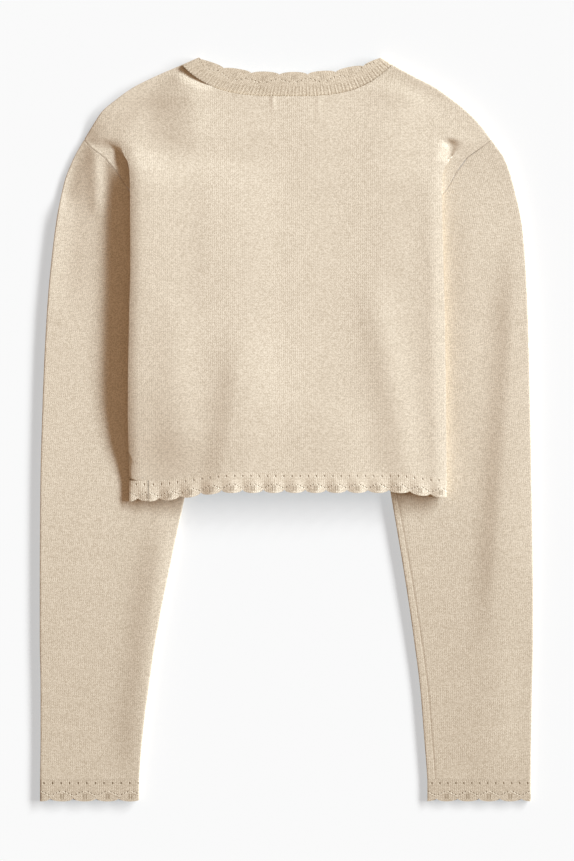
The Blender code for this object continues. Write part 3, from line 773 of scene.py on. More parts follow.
@dataclass
class Sheet:
    """Rows of points on a piece's outer face, with the cloth's own measure at each.

    Attributes:
        points: Rows by columns by three coordinates, seen with the rows going down.
        cloth: Rows by columns by two: length across the cloth, and along it, in metres. A ring has one
            column more than its points, where it closes.
        seams: The same shape: distance from the piece's side edge, and from its first row.
        ring: Whether the last column joins the first.
    """

    points: Array
    cloth: Array
    seams: Array
    ring: bool = False

    def directions(self, axis: int) -> Array:
        """Direction of the grid's lines along an axis, halfway between those of the steps beside.

        Args:
            axis: 0 for down the rows, 1 for along them.

        Returns:
            A direction at each point.
        """
        grid = self.points
        if self.ring and axis == 1:
            return unit(np.roll(grid, -1, 1) - grid) + unit(grid - np.roll(grid, 1, 1))
        step = np.diff(grid, axis=axis)
        ahead = np.concatenate([step, np.take(step, [-1], axis)], axis)
        behind = np.concatenate([np.take(step, [0], axis), step], axis)
        return unit(ahead) + unit(behind)

    def normals(self) -> Array:
        """Outward directions."""
        return unit(np.cross(self.directions(0), self.directions(1)))

    def mirrored(self) -> "Sheet":
        """The same rows the other way round, for a piece whose outer face is below.

        Returns:
            The turned sheet.
        """
        if self.ring:
            return Sheet(self.points[:, ::-1], self.cloth[:, ::-1], self.seams[:, ::-1], True)
        return Sheet(self.points[:, ::-1], self.cloth[:, ::-1], self.seams[:, ::-1])


def shell(name: str, sheet: Sheet, wall: float, facing: dict[int, Array] | None = None) -> bpy.types.Object:
    """A closed shell of cloth: the sheet's outer face, an inner face a wall's thickness in, and its rims.

    Args:
        name: Name of the piece.
        sheet: Its outer face.
        wall: Thickness.
        facing: Outward direction at a column, where the piece meets another.

    Returns:
        The new object.
    """
    outer = sheet.points
    normal = sheet.normals()
    for column, direction in (facing or {}).items():
        normal[:, column] = direction
    inner = outer - wall * unit(normal)
    rows, count = outer.shape[:2]
    index = np.arange(rows * count).reshape(rows, count)
    lining = index + rows * count
    cells = np.arange(count if sheet.ring else count - 1)
    after = (cells + 1) % count

    def corners(grid: Array, k: Array, i: Array) -> Array:
        """One corner of each cell, where rows k meet columns i."""
        return grid[np.ix_(k, i)].ravel()

    top, low = np.arange(rows - 1), np.arange(1, rows)
    faces = [
        np.stack([corners(index, top, cells), corners(index, low, cells),
                  corners(index, low, after), corners(index, top, after)], 1),
        np.stack([corners(lining, top, cells), corners(lining, top, after),
                  corners(lining, low, after), corners(lining, low, cells)], 1),
        np.stack([index[0, cells], index[0, after], lining[0, after], lining[0, cells]], 1),
        np.stack([index[-1, cells], lining[-1, cells], lining[-1, after], index[-1, after]], 1),
    ]
    measure = sheet.cloth.shape[1]
    mark = np.arange(rows * measure).reshape(rows, measure)
    beyond = cells + 1
    marks = [
        np.stack([corners(mark, top, cells), corners(mark, low, cells),
                  corners(mark, low, beyond), corners(mark, top, beyond)], 1),
        np.stack([corners(mark, top, cells), corners(mark, top, beyond),
                  corners(mark, low, beyond), corners(mark, low, cells)], 1),
        np.stack([mark[0, cells], mark[0, beyond], mark[0, beyond], mark[0, cells]], 1),
        np.stack([mark[-1, cells], mark[-1, cells], mark[-1, beyond], mark[-1, beyond]], 1),
    ]
    if not sheet.ring:
        for column, flip in ((0, False), (count - 1, True)):
            side = np.stack([index[top, column], lining[top, column],
                             lining[low, column], index[low, column]], 1)
            signs = np.stack([mark[top, column], mark[top, column],
                              mark[low, column], mark[low, column]], 1)
            faces.append(side[:, ::-1] if flip else side)
            marks.append(signs[:, ::-1] if flip else signs)
    quads = np.concatenate(faces)
    named = np.concatenate(marks).ravel()
    mesh = bpy.data.meshes.new(name)
    vertices = np.concatenate([outer.reshape(-1, 3), inner.reshape(-1, 3)])
    mesh.from_pydata(vertices.tolist(), [], quads.tolist())
    for title, values in (("cloth", sheet.cloth), ("seams", sheet.seams)):
        layer = mesh.uv_layers.new(name=title)
        layer.uv.foreach_set("vector", values.reshape(-1, 2)[named].astype(np.float32).ravel())
    mesh.shade_smooth()
    mesh.set_sharp_from_angle(angle=math.radians(60))
    obj = bpy.data.objects.new(name, mesh)
    bpy.context.collection.objects.link(obj)
    return obj


# ---------------------------------------------------------------------------------------------
# Materials
# ---------------------------------------------------------------------------------------------


class Value:
    """A socket's number in a material, so that shader maths reads as an expression."""

    def __init__(self, graph: "Graph", socket: bpy.types.NodeSocket) -> None:
        """Wraps a socket."""
        self.graph = graph
        self.socket = socket

    def maths(self, operation: str, *others: "Value | float") -> "Value":
        """A Math node on this value and others."""
        inputs = {index: value for index, value in enumerate((self, *others))}
        return self.graph.value("ShaderNodeMath", {"operation": operation}, inputs)

    def __add__(self, other: "Value | float") -> "Value":
        """Sum."""
        return self.maths("ADD", other)

    __radd__ = __add__

    def __mul__(self, other: "Value | float") -> "Value":
        """Product."""
        return self.maths("MULTIPLY", other)

    __rmul__ = __mul__

    def __sub__(self, other: "Value | float") -> "Value":
        """Difference."""
        return self.maths("SUBTRACT", other)

    def __rsub__(self, other: float) -> "Value":
        """A number less this value."""
        return self.graph.value("ShaderNodeMath", {"operation": "SUBTRACT"}, {0: other, 1: self})

    def __truediv__(self, other: "Value | float") -> "Value":
        """Quotient."""
        return self.maths("DIVIDE", other)

    def fraction(self) -> "Value":
        """What is past the whole number below."""
        return self.maths("FRACT")

    def whole(self) -> "Value":
        """The whole number below."""
        return self.maths("FLOOR")

    def size(self) -> "Value":
        """Without its sign."""
        return self.maths("ABSOLUTE")

    def sine(self) -> "Value":
        """Sine of radians."""
        return self.maths("SINE")

    def root(self) -> "Value":
        """Square root."""
        return self.maths("SQRT")

    def least(self, other: "Value | float") -> "Value":
        """The smaller of two."""
        return self.maths("MINIMUM", other)

    def most(self, other: "Value | float") -> "Value":
        """The larger of two."""
        return self.maths("MAXIMUM", other)

    def smooth(self, low: float, high: float) -> "Value":
        """Smooth step from 0 at low to 1 at high, or down where low is the larger.

        Args:
            low: Value where the step is 0.
            high: Value where it is 1.

        Returns:
            The step.
        """
        settings = {"interpolation_type": "SMOOTHSTEP"}
        turned = low > high
        inputs = {"Value": self, "From Min": min(low, high), "From Max": max(low, high)}
        inputs |= {"To Min": float(turned), "To Max": float(not turned)}
        return self.graph.value("ShaderNodeMapRange", settings, inputs)


class Graph:
    """A material's nodes, each made by the one method below."""

    def __init__(self, name: str) -> None:
        """Starts an empty material.

        Args:
            name: Name of the material.
        """
        self.material = bpy.data.materials.new(name)
        self.material.use_nodes = True
        self.tree = self.material.node_tree
        self.tree.nodes.clear()

    def node(self, kind: str, settings: dict | None = None, inputs: dict | None = None) -> bpy.types.Node:
        """One node.

        Args:
            kind: Its type.
            settings: Its properties, set first.
            inputs: Values or links of its sockets, by name or number.

        Returns:
            The node.
        """
        made = self.tree.nodes.new(kind)
        for name, value in (settings or {}).items():
            setattr(made, name, value)
        for name, value in (inputs or {}).items():
            if isinstance(value, Value):
                self.tree.links.new(value.socket, made.inputs[name])
            elif isinstance(value, bpy.types.NodeSocket):
                self.tree.links.new(value, made.inputs[name])
            else:
                made.inputs[name].default_value = value
        return made

    def value(
        self, kind: str, settings: dict | None = None, inputs: dict | None = None, output: int | str = 0
    ) -> Value:
        """One node's output, as a value."""
        return Value(self, self.node(kind, settings, inputs).outputs[output])

    def measure(self, layer: str) -> tuple[Value, Value]:
        """The two numbers of a UV layer.

        Args:
            layer: Name of the layer.

        Returns:
            Its first and its second number.
        """
        uv = self.node("ShaderNodeUVMap", {"uv_map": layer}).outputs[0]
        parts = self.node("ShaderNodeSeparateXYZ", None, {0: uv}).outputs
        return Value(self, parts[0]), Value(self, parts[1])

    def place(self) -> bpy.types.NodeSocket:
        """The object's own coordinates."""
        return self.node("ShaderNodeTexCoord").outputs["Object"]

    def noise(self, scale: float, detail: float) -> Value:
        """Soft noise, from about 0 to 1, that many to the metre."""
        inputs = {"Vector": self.place(), "Scale": scale, "Detail": detail}
        return self.value("ShaderNodeTexNoise", None, inputs)

    def shaded(self, colour: Colour, factor: Value) -> bpy.types.NodeSocket:
        """A colour made brighter or darker by a factor, warmer where it is darker.

        Args:
            colour: The colour.
            factor: The factor, 1 for the colour itself.

        Returns:
            The shaded colour.
        """
        share = [part * keep for part, keep in zip(colour, WARMING)]
        rest = [part - kept for part, kept in zip(colour, share)]
        inputs = {0: factor, 1: tuple(share), 2: tuple(rest)}
        return self.node("ShaderNodeVectorMath", {"operation": "MULTIPLY_ADD"}, inputs).outputs[0]

    def blend(self, first: bpy.types.NodeSocket | Colour, second: bpy.types.NodeSocket | Colour,
              factor: Value) -> bpy.types.NodeSocket:
        """From one colour to another.

        Args:
            first: Colour at 0.
            second: Colour at 1.
            factor: Share of the second.

        Returns:
            The mixed colour.
        """
        ends = [end if isinstance(end, bpy.types.NodeSocket) else (*end, 1.0) for end in (first, second)]
        made = self.node("ShaderNodeMix", {"data_type": "RGBA"})
        for socket, end in zip((made.inputs[6], made.inputs[7]), ends):
            if isinstance(end, tuple):
                socket.default_value = end
            else:
                self.tree.links.new(end, socket)
        self.tree.links.new(factor.socket, made.inputs[0])
        return made.outputs[2]

    def finish(self, inputs: dict, height: Value | None = None, depth: float = 0.0) -> bpy.types.Material:
        """Ends the material in a Principled shader, with a bump where there is a height.

        Args:
            inputs: Values or links of the shader's sockets, by name.
            height: Height for the bump, 0 to about 1.
            depth: What a height of 1 stands for.

        Returns:
            The material.
        """
        if height is not None:
            bump = {"Height": height, "Distance": depth, "Strength": 1.0}
            inputs = inputs | {"Normal": self.node("ShaderNodeBump", None, bump).outputs[0]}
        shader = self.node("ShaderNodeBsdfPrincipled", None, inputs)
        output = self.node("ShaderNodeOutputMaterial")
        self.tree.links.new(shader.outputs[0], output.inputs["Surface"])
        return self.material


@dataclass(frozen=True)
class StockingStitch:
    """Fine plain knitting in a speckled champagne yarn.

    Attributes:
        name: Name of the material.
        colour: Colour of the yarn.
        wale: Width of a stitch.
        course: Height of a stitch.
        relief: Depth of the knitting.
        fleck: How much the brightness changes from one leg of a stitch to the next.
        soft: The same over a few stitches.
        cloud: The same over larger patches.
        shadow: Colour deep in a seam.
        underarm: Whether the piece has a seam along its length too.
        shoulder: Contrast of the fine ribs where the knitting is shaped beside the neck points.
        falloff_shade: Painted shade: how much darker the knitting gets towards its low end, where the light
            falls off.
        falloff_shade_from: Place along the garment where that begins.
        falloff_shade_to: Place where it is full.
    """

    name: str
    colour: Colour = (0.762, 0.648, 0.508)
    wale: float = 0.00186
    course: float = 0.00142
    relief: float = 0.00012
    fleck: float = 0.38
    soft: float = 0.05
    cloud: float = 0.08
    # shadow: Colour of the painted shade deep in a seam.
    shadow: Colour = (0.30, 0.19, 0.11)
    underarm: bool = False
    shoulder: float = 0.0
    falloff_shade: float = 0.0
    falloff_shade_from: float = 0.10
    falloff_shade_to: float = -0.33

    def stitches(self, graph: Graph) -> Value:
        """Height of the stitches, 0 to 1: two legs in each, and a gap between the wales.

        Args:
            graph: The material's nodes.

        Returns:
            The height.
        """
        across, along = graph.measure("cloth")
        leg = ((across / self.wale).fraction() - 0.5).size()
        wale = 1 - leg * leg * 4
        legs = 1 - (leg * 4 - 1) * (leg * 4 - 1)
        place = along / self.course - leg * 1.5
        thread = (place * math.tau).sine() * 0.5 + 0.5
        return (wale * 0.45 + legs.most(0.0) * 0.35) * (thread * 0.75 + 0.25) * 1.25

    def mottle(self, graph: Graph) -> Value:
        """Brightness of the yarn from stitch to stitch and over larger patches, about 1.

        Args:
            graph: The material's nodes.

        Returns:
            The factor.
        """
        across, along = graph.measure("cloth")
        cell = {0: (across / self.wale * 2).whole(), 1: (along / self.course * 2 + 0.3).whole()}
        grid = graph.node("ShaderNodeCombineXYZ", None, cell).outputs[0]
        single = graph.value("ShaderNodeTexWhiteNoise", {"noise_dimensions": "2D"}, {"Vector": grid})
        soft = graph.noise(520.0, 2.0)
        cloud = graph.noise(45.0, 3.0)
        return 1 + (single - 0.5) * self.fleck + (soft - 0.5) * self.soft + (cloud - 0.5) * self.cloud

    def density(self, graph: Graph) -> Value:
        """Painted shade: brightness that the knitting loses towards its low end, where the light falls off.
        """
        _, along = graph.measure("cloth")
        return 1 - along.smooth(self.falloff_shade_from, self.falloff_shade_to) * self.falloff_shade

    def shaping(self, graph: Graph) -> Value:
        """Brightness of the fine curved ribs where the knitting is shaped beside the neck points.

        Args:
            graph: The material's nodes.

        Returns:
            The factor.
        """
        across, along = graph.measure("cloth")
        far = ((across.size() - 0.104) / 0.022).size().smooth(1.0, 0.4)
        near = far * along.smooth(0.290, 0.305)
        bent = across.size() - (along - 0.300) * (along - 0.300) * 5.0
        return 1 - near * ((bent / 0.0031 * math.tau).sine() * 0.5 + 0.5) * self.shoulder

    def seam(self, graph: Graph) -> tuple[Value, Value]:
        """A seam along the piece's edge.

        Args:
            graph: The material's nodes.

        Returns:
            How far the cloth has risen from the seam, and how much of its dark line shows, both 0 to 1.
        """
        side, other = graph.measure("seams")
        if self.underarm:
            off = side.least(other.size())
            return off.smooth(0.0, 0.0016), off.smooth(0.0008, 0.0002)
        shown = other.smooth(0.28, 0.32)
        return side.smooth(0.0, 0.0016).most(shown), side.smooth(0.0008, 0.0002) * (1 - shown)

    def build(self) -> bpy.types.Material:
        """The material.

        Returns:
            The finish.
        """
        graph = Graph(self.name)
        stitch = self.stitches(graph)
        rolled, line = self.seam(graph)
        # Painted shade: the knitting is darker in the gaps between its stitches; on the sleeves it also
        # darkens towards the cuffs, where the light falls off.
        bright = self.mottle(graph) * (stitch * 0.14 + 0.92) * self.density(graph)
        if self.shoulder:
            bright = bright * self.shaping(graph)
        # Painted shade: a dark line of the shadow colour deep in each seam.
        inputs = {
            "Base Color": graph.blend(graph.shaded(self.colour, bright), self.shadow, line * 0.32),
        }
        return graph.finish(inputs | WOOLLY, stitch + rolled, self.relief)


@dataclass(frozen=True)
class Openwork:
    """Scalloped openwork knitting: a row of eyelets or ribs, then a fan of holes in each scallop.

    Attributes:
        name: Name of the material.
        pitch: Width of a scallop.
        depth: Depth of the edging.
        colour: Colour of the yarn.
        hole: Colour of the painted shade in a hole, for the shaded cloth seen through it.
        eyelet_v: Distance of the eyelets from the edging's seam.
        eyelet_pitch: Distance between two eyelets, which ribs replace where there is a rib depth.
        eyelet_size: Radius of an eyelet.
        eyelet_shade: How much painted shade fills the eyelets.
        fan_top: Distance from the seam to the top of each fan.
        fan_drop: How much lower the fan's ends are.
        fan_holes: Holes in half a fan, counted over half a scallop.
        fan_size: Radius of those holes.
        fan_shade: How much painted shade fills them.
        rib: Depth of the ribs beside the seam.
        lace: Contrast of the small holes within the scallops.
        raised: How light the line beneath the fan is.
        relief: Depth of the knitting.
    """

    name: str
    pitch: float
    depth: float
    colour: Colour = (0.755, 0.640, 0.498)
    hole: Colour = (0.270, 0.190, 0.115)
    eyelet_v: float = 0.0035
    eyelet_pitch: float = 0.0075
    eyelet_size: float = 0.00075
    eyelet_shade: float = 0.45
    fan_top: float = 0.0100
    fan_drop: float = 0.0048
    fan_holes: float = 3.75
    fan_size: float = 0.00062
    fan_shade: float = 0.5
    rib: float = 0.0
    lace: float = 0.22
    # raised: How much lighter the raised line beneath the fan is painted, a painted highlight along it.
    raised: float = 0.10
    relief: float = 0.0004

    def eyelets(self, across: Value, along: Value) -> Value:
        """The row of eyelets, 1 in a hole.

        Args:
            across: Length along the edging, 0 at the middle of a scallop.
            along: Distance from the edging's seam.

        Returns:
            The mask.
        """
        off = ((across / self.eyelet_pitch).fraction() - 0.5) * self.eyelet_pitch
        down = (along - self.eyelet_v) * 0.7
        far = (off * off + down * down).root()
        return far.smooth(self.eyelet_size * 1.3, self.eyelet_size * 0.6)

    def fan(self, across: Value, along: Value) -> tuple[Value, Value]:
        """The fan in each scallop: its holes, and the raised line beneath them.

        Args:
            across: Length along the edging, 0 at the middle of a scallop.
            along: Distance from the edging's seam.

        Returns:
            The holes and the line, 1 where they are.
        """
        off = ((across / self.pitch + 0.5).fraction() - 0.5).size() * 2
        step = ((off * self.fan_holes - 0.5).fraction() - 0.5) * (self.pitch / 2 / self.fan_holes)
        line = along - (off * self.fan_drop + self.fan_top)
        far = (step * step + line * line).root()
        holes = far.smooth(self.fan_size * 1.4, self.fan_size * 0.6) * off.smooth(0.10, 0.20)
        raised = (line - 0.0011).size().smooth(0.0008, 0.0003)
        return holes, raised

    def slits(self, across: Value, along: Value) -> Value:
        """Two short upright slits in the middle of each scallop.

        Args:
            across: Length along the edging, 0 at the middle of a scallop.
            along: Distance from the edging's seam.

        Returns:
            The mask, 1 in a slit.
        """
        off = ((across / self.pitch + 0.5).fraction() - 0.5) * self.pitch
        side = (off.size() - 0.0011).size().smooth(0.0010, 0.0004)
        return side * (along - (self.depth - 0.0045)).size().smooth(0.0030, 0.0018)

    def small_holes(self, across: Value, along: Value) -> Value:
        """The lace of small holes within the scallops, from -1 to 1.

        Args:
            across: Length along the edging, 0 at the middle of a scallop.
            along: Distance from the edging's seam.

        Returns:
            The pattern.
        """
        off = ((across / self.pitch + 0.5).fraction() - 0.5).size() * 2
        spread = (off * (self.pitch / 2) / 0.0021 * math.tau).sine()
        rows = ((along - off * off * 0.0030) / 0.0024 * math.tau).sine()
        inside = along.smooth(self.fan_top - 0.0010, self.fan_top + 0.0015)
        return spread * rows * inside

    def ribs(self, across: Value, along: Value) -> Value:
        """Narrow ribs beside the seam, from 0 in a groove to 1.

        Args:
            across: Length along the edging, 0 at the middle of a scallop.
            along: Distance from the edging's seam.

        Returns:
            The height of the ribs.
        """
        sway = (along / 0.0028 * math.tau).sine() * 0.0002
        groove = ((across + sway) / 0.0028 * math.tau).sine() * 0.5 + 0.5
        zone = along.smooth(self.rib + 0.0015, self.rib - 0.0010)
        return 1 - (1 - groove) * zone

    def build(self) -> bpy.types.Material:
        """The material.

        Returns:
            The finish.
        """
        graph = Graph(self.name)
        across, along = graph.measure("cloth")
        stitch = StockingStitch(self.name)
        yarn = stitch.stitches(graph)
        holes, raised = self.fan(across, along)
        dark = (holes * self.fan_shade).most(self.slits(across, along) * self.fan_shade)
        height = yarn * 0.4 + raised * (self.raised * 3) - holes
        # Painted shade in the gaps between stitches, and a painted highlight along the raised line beneath
        # the fan.
        bright = stitch.mottle(graph) * (yarn * 0.16 + 0.91) * (1 + raised * self.raised)
        bright = bright * (1 + self.small_holes(across, along) * self.lace)
        if self.rib:
            # Painted shade in the grooves between the ribs, which are darker.
            ribs = self.ribs(across, along)
            bright = bright * (ribs * 0.13 + 0.88)
            height = height + ribs * 0.3
            seam = ((across / 0.0021 * math.tau).sine() * 0.5 + 0.5) * along.smooth(0.0014, 0.0007)
            dark = dark.most(seam * 0.7)
        else:
            eyelets = self.eyelets(across, along)
            dark = dark.most(eyelets * self.eyelet_shade)
            height = height - eyelets
        # Painted shade: the eyelets, the fan's holes and the slits take the hole colour, standing in for
        # the shaded cloth seen through them; the dots of the neck's seam take it too.
        inputs = {
            "Base Color": graph.blend(graph.shaded(self.colour, bright), self.hole, dark),
        }
        return graph.finish(inputs | WOOLLY, height, self.relief)


@dataclass(frozen=True)
class ButtonShell:
    """Pale shell buttons."""

    name: str
    colour: Colour = (0.72, 0.64, 0.53)

    def build(self) -> bpy.types.Material:
        """The material.

        Returns:
            The finish.
        """
        graph = Graph(self.name)
        cloud = graph.noise(260.0, 3.0)
        inputs = {
            "Base Color": graph.shaded(self.colour, cloud * 0.3 + 0.85),
            "Roughness": 0.32,
            "Coat Weight": 0.3,
            "Coat Roughness": 0.15,
        }
        return graph.finish(inputs)


@dataclass(frozen=True)
class StudioFloor:
    """Plain white floor, whose shadows stay light and grey."""

    name: str = "studio_floor"
    matt: Colour = (0.598, 0.527, 0.482)
    glow: Colour = (0.357, 0.428, 0.473)

    def build(self) -> bpy.types.Material:
        """The material.

        Returns:
            The finish.
        """
        graph = Graph(self.name)
        matt = graph.node("ShaderNodeBsdfDiffuse", None, {"Color": (*self.matt, 1.0)})
        light = graph.node("ShaderNodeEmission", None, {"Color": (*self.glow, 1.0), "Strength": 1.0})
        both = graph.node("ShaderNodeAddShader", None, {0: matt.outputs[0], 1: light.outputs[0]})
        output = graph.node("ShaderNodeOutputMaterial")
        graph.tree.links.new(both.outputs[0], output.inputs["Surface"])
        return graph.material


class Wardrobe:
    """The finishes, made once and shared by the pieces."""

    def __init__(self) -> None:
        """Builds each finish."""
        self.plain = StockingStitch("champagne_stocking_stitch", shoulder=0.10).build()
        # Painted shade: the sleeves' knitting darkens towards the cuffs, where the light falls off.
        self.sleeve = StockingStitch("sleeve_stocking_stitch", underarm=True, falloff_shade=0.14).build()
        self.hem = Openwork("hem_openwork", pitch=0.01916, depth=0.0190, colour=(0.815, 0.695, 0.545),
                            eyelet_shade=0.5, fan_shade=0.55, raised=0.04).build()
        self.cuff = Openwork("cuff_openwork", pitch=0.0199, depth=0.0202, colour=(0.640, 0.530, 0.402),
                             eyelet_shade=0.9, fan_shade=0.6, lace=0.12, raised=0.12).build()
        self.neck = Openwork("neck_openwork", pitch=0.0253, depth=0.0215, colour=(0.735, 0.615, 0.470),
                             fan_top=0.0118, fan_shade=0.3, lace=0.10, rib=0.0085, raised=0.0).build()
        self.shell = ButtonShell("pale_button_shell").build()


def settle(
    obj: bpy.types.Object,
    material: bpy.types.Material,
    nodes: Sequence[str],
    rests_on: Sequence[str] = (),
) -> None:
    """Args:
        obj: The piece.
        material: Its finish.
        nodes: Solids that it stands for.
        rests_on: What it lies on; not used.
    """
    obj.data.materials.append(material)
    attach(obj, "root")
    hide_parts(*nodes)
    LOG.info("%s: %d faces", obj.name, len(obj.data.polygons))


# ---------------------------------------------------------------------------------------------
# The garment
# ---------------------------------------------------------------------------------------------


@dataclass
class BackPanel:
    """The back, which lies on top and folds round over the sleeves at its sides."""

    shape: LaidShape
    wardrobe: Wardrobe
    wall: float = 0.0012
    rows: int = 190
    hidden_steps: int = 10
    lower_steps: int = 9
    upper_steps: int = 14
    top_steps: int = 54
    moved: float = 3.25
    crowding: float = 1.8
    shift_from: float = 0.070
    shift_over: float = 0.055

    def turns(self) -> Array:
        """Places of the columns on each half, from the seam edge to the centre back.

        Returns:
            The places, from 0 to 4.
        """
        parts = [
            np.linspace(0, 1, self.hidden_steps) ** self.crowding,
            np.linspace(1, 2, self.lower_steps)[1:],
            np.linspace(2, 3, self.upper_steps)[1:],
            np.linspace(3, 4, self.top_steps)[1:],
        ]
        return np.concatenate(parts)

    def line(self, row: Array) -> Array:
        """Whole rows of the back, from the left side seam to the right one.

        Args:
            row: The rows, as a column.

        Returns:
            Rows by columns by three coordinates.
        """
        steps = self.turns()[None, :]
        halves = []
        for side in Side:
            start = self.shape.seam_turn(side, row)
            shift = np.maximum(start, ease((self.shift_from - row) / self.shift_over))
            turns = steps + shift * np.maximum(1 - steps / self.moved, 0.0)
            turns[:, 0] = start[:, 0]
            halves.append(np.stack(self.shape.back_point(side, row, turns), axis=-1))
        return np.concatenate([halves[0], halves[1][:, -2::-1]], axis=1)

    def measured(self, points: Array, row: Array) -> Sheet:
        """The cloth's own measure at each point: from the centre back, and along the garment.

        Args:
            points: Rows by columns by three coordinates.
            row: The rows, as a column.

        Returns:
            The panel's outer face.
        """
        length = run_length(points[..., 0], points[..., 2])
        middle = len(self.turns()) - 1
        across = length - length[:, middle : middle + 1]
        side = np.minimum(length, length[:, -1:] - length)
        cloth = np.stack([across, points[..., 1]], axis=-1)
        seams = np.stack([side, np.broadcast_to(self.shape.neck_row - row, side.shape)], axis=-1)
        return Sheet(points, cloth, seams)

    def build(self) -> bpy.types.Object:
        """Makes the panel.

        Returns:
            The new object.
        """
        row = np.linspace(self.shape.neck_row, self.shape.hem_row, self.rows)[:, None]
        sheet = self.measured(self.line(row), row)
        obj = shell("back_panel", sheet, self.wall)
        settle(obj, self.wardrobe.plain, ["back"],
               ["left_sleeve_tube", "right_sleeve_tube", "left_front_panel", "right_front_panel"])
        return obj


@dataclass
class HemEdging:
    """Scalloped edging along the hem of the back or of a front."""

    shape: LaidShape
    wardrobe: Wardrobe
    depth: float = 0.0190
    pitch: float = 0.01916
    first: float = -0.1270
    lobe_depth: float = 0.0034
    wall: float = 0.0011
    step: float = 0.0010
    rows: int = 18
    flutter: float = 0.0005
    sink: float = 0.0004

    def grow(self, line: Array, place: Array) -> Sheet:
        """The edging that continues a row of points.

        Args:
            line: The row, columns by three coordinates.
            place: Each point's place along the hem, from the middle.

        Returns:
            Its outer face.
        """
        length = run_length(line[:, 0], line[:, 2])
        count = int(length[-1] / self.step)
        even = np.linspace(0, length[-1], count)
        x, y, z, s = (np.interp(even, length, part) for part in (*line.T, place))
        scallop = lobe((s - self.first) / self.pitch)
        reach = self.depth - self.lobe_depth * (1 - scallop)
        down = np.linspace(0, 1, self.rows)[:, None]
        fall = down * reach[None, :]
        wave = self.flutter * ease(down) * np.cos((s - self.first) / self.pitch * math.tau)[None, :]
        z = np.maximum(z[None, :] - self.sink * down + wave, 0.0)
        points = np.stack([np.broadcast_to(x, fall.shape), y[None, :] - self.shape.gap - fall, z], axis=-1)
        along = np.broadcast_to(s - self.first, fall.shape)
        cloth = np.stack([along, fall], axis=-1)
        side = np.broadcast_to(np.minimum(even, even[-1] - even), fall.shape)
        return Sheet(points, cloth, np.stack([side, fall], axis=-1))

    def along_back(self, panel: BackPanel) -> tuple[Array, Array]:
        """The back's hem, and each point's place along it from the centre back.

        Args:
            panel: The back.

        Returns:
            The row of points, and their places.
        """
        line = panel.line(np.array([[self.shape.hem_row]]))[0]
        length = run_length(line[:, 0], line[:, 2])
        return line, length - length[len(panel.turns()) - 1]

    def build_back(self, panel: BackPanel) -> bpy.types.Object:
        """Makes the back's edging.

        Args:
            panel: The back.

        Returns:
            The new object.
        """
        line, place = self.along_back(panel)
        facing = {0: self.shape.seam_facing(Side.LEFT, self.shape.hem_row),
                  -1: self.shape.seam_facing(Side.RIGHT, self.shape.hem_row)}
        obj = shell("back_hem_scallops", self.grow(line, place), self.wall, facing)
        settle(obj, self.wardrobe.hem, ["back_hem_edging"],
               ["back_panel"])
        return obj

    def build_front(self, front: "FrontPanel", panel: BackPanel) -> bpy.types.Object:
        """Makes a front's edging, whose scallops go on from the back's at the side seam.

        Args:
            front: The front.
            panel: The back.

        Returns:
            The new object.
        """
        row = np.array([[self.shape.hem_row]])
        line = front.line(row)[0]
        length = run_length(line[:, 0], line[:, 2])
        _, back_place = self.along_back(panel)
        place = back_place[0] - length if front.side is Side.LEFT else back_place[-1] + length
        sheet = self.grow(line, place)
        column = -1 if front.side is Side.LEFT else 0
        facing = {column: self.shape.seam_facing(front.side, self.shape.hem_row)}
        obj = shell(f"{front.side.column}_front_hem_scallops", front.face_down(sheet), self.wall, facing)
        settle(obj, self.wardrobe.hem, [f"{front.side.column}_front_hem_edging"],
               [front.name])
        return obj


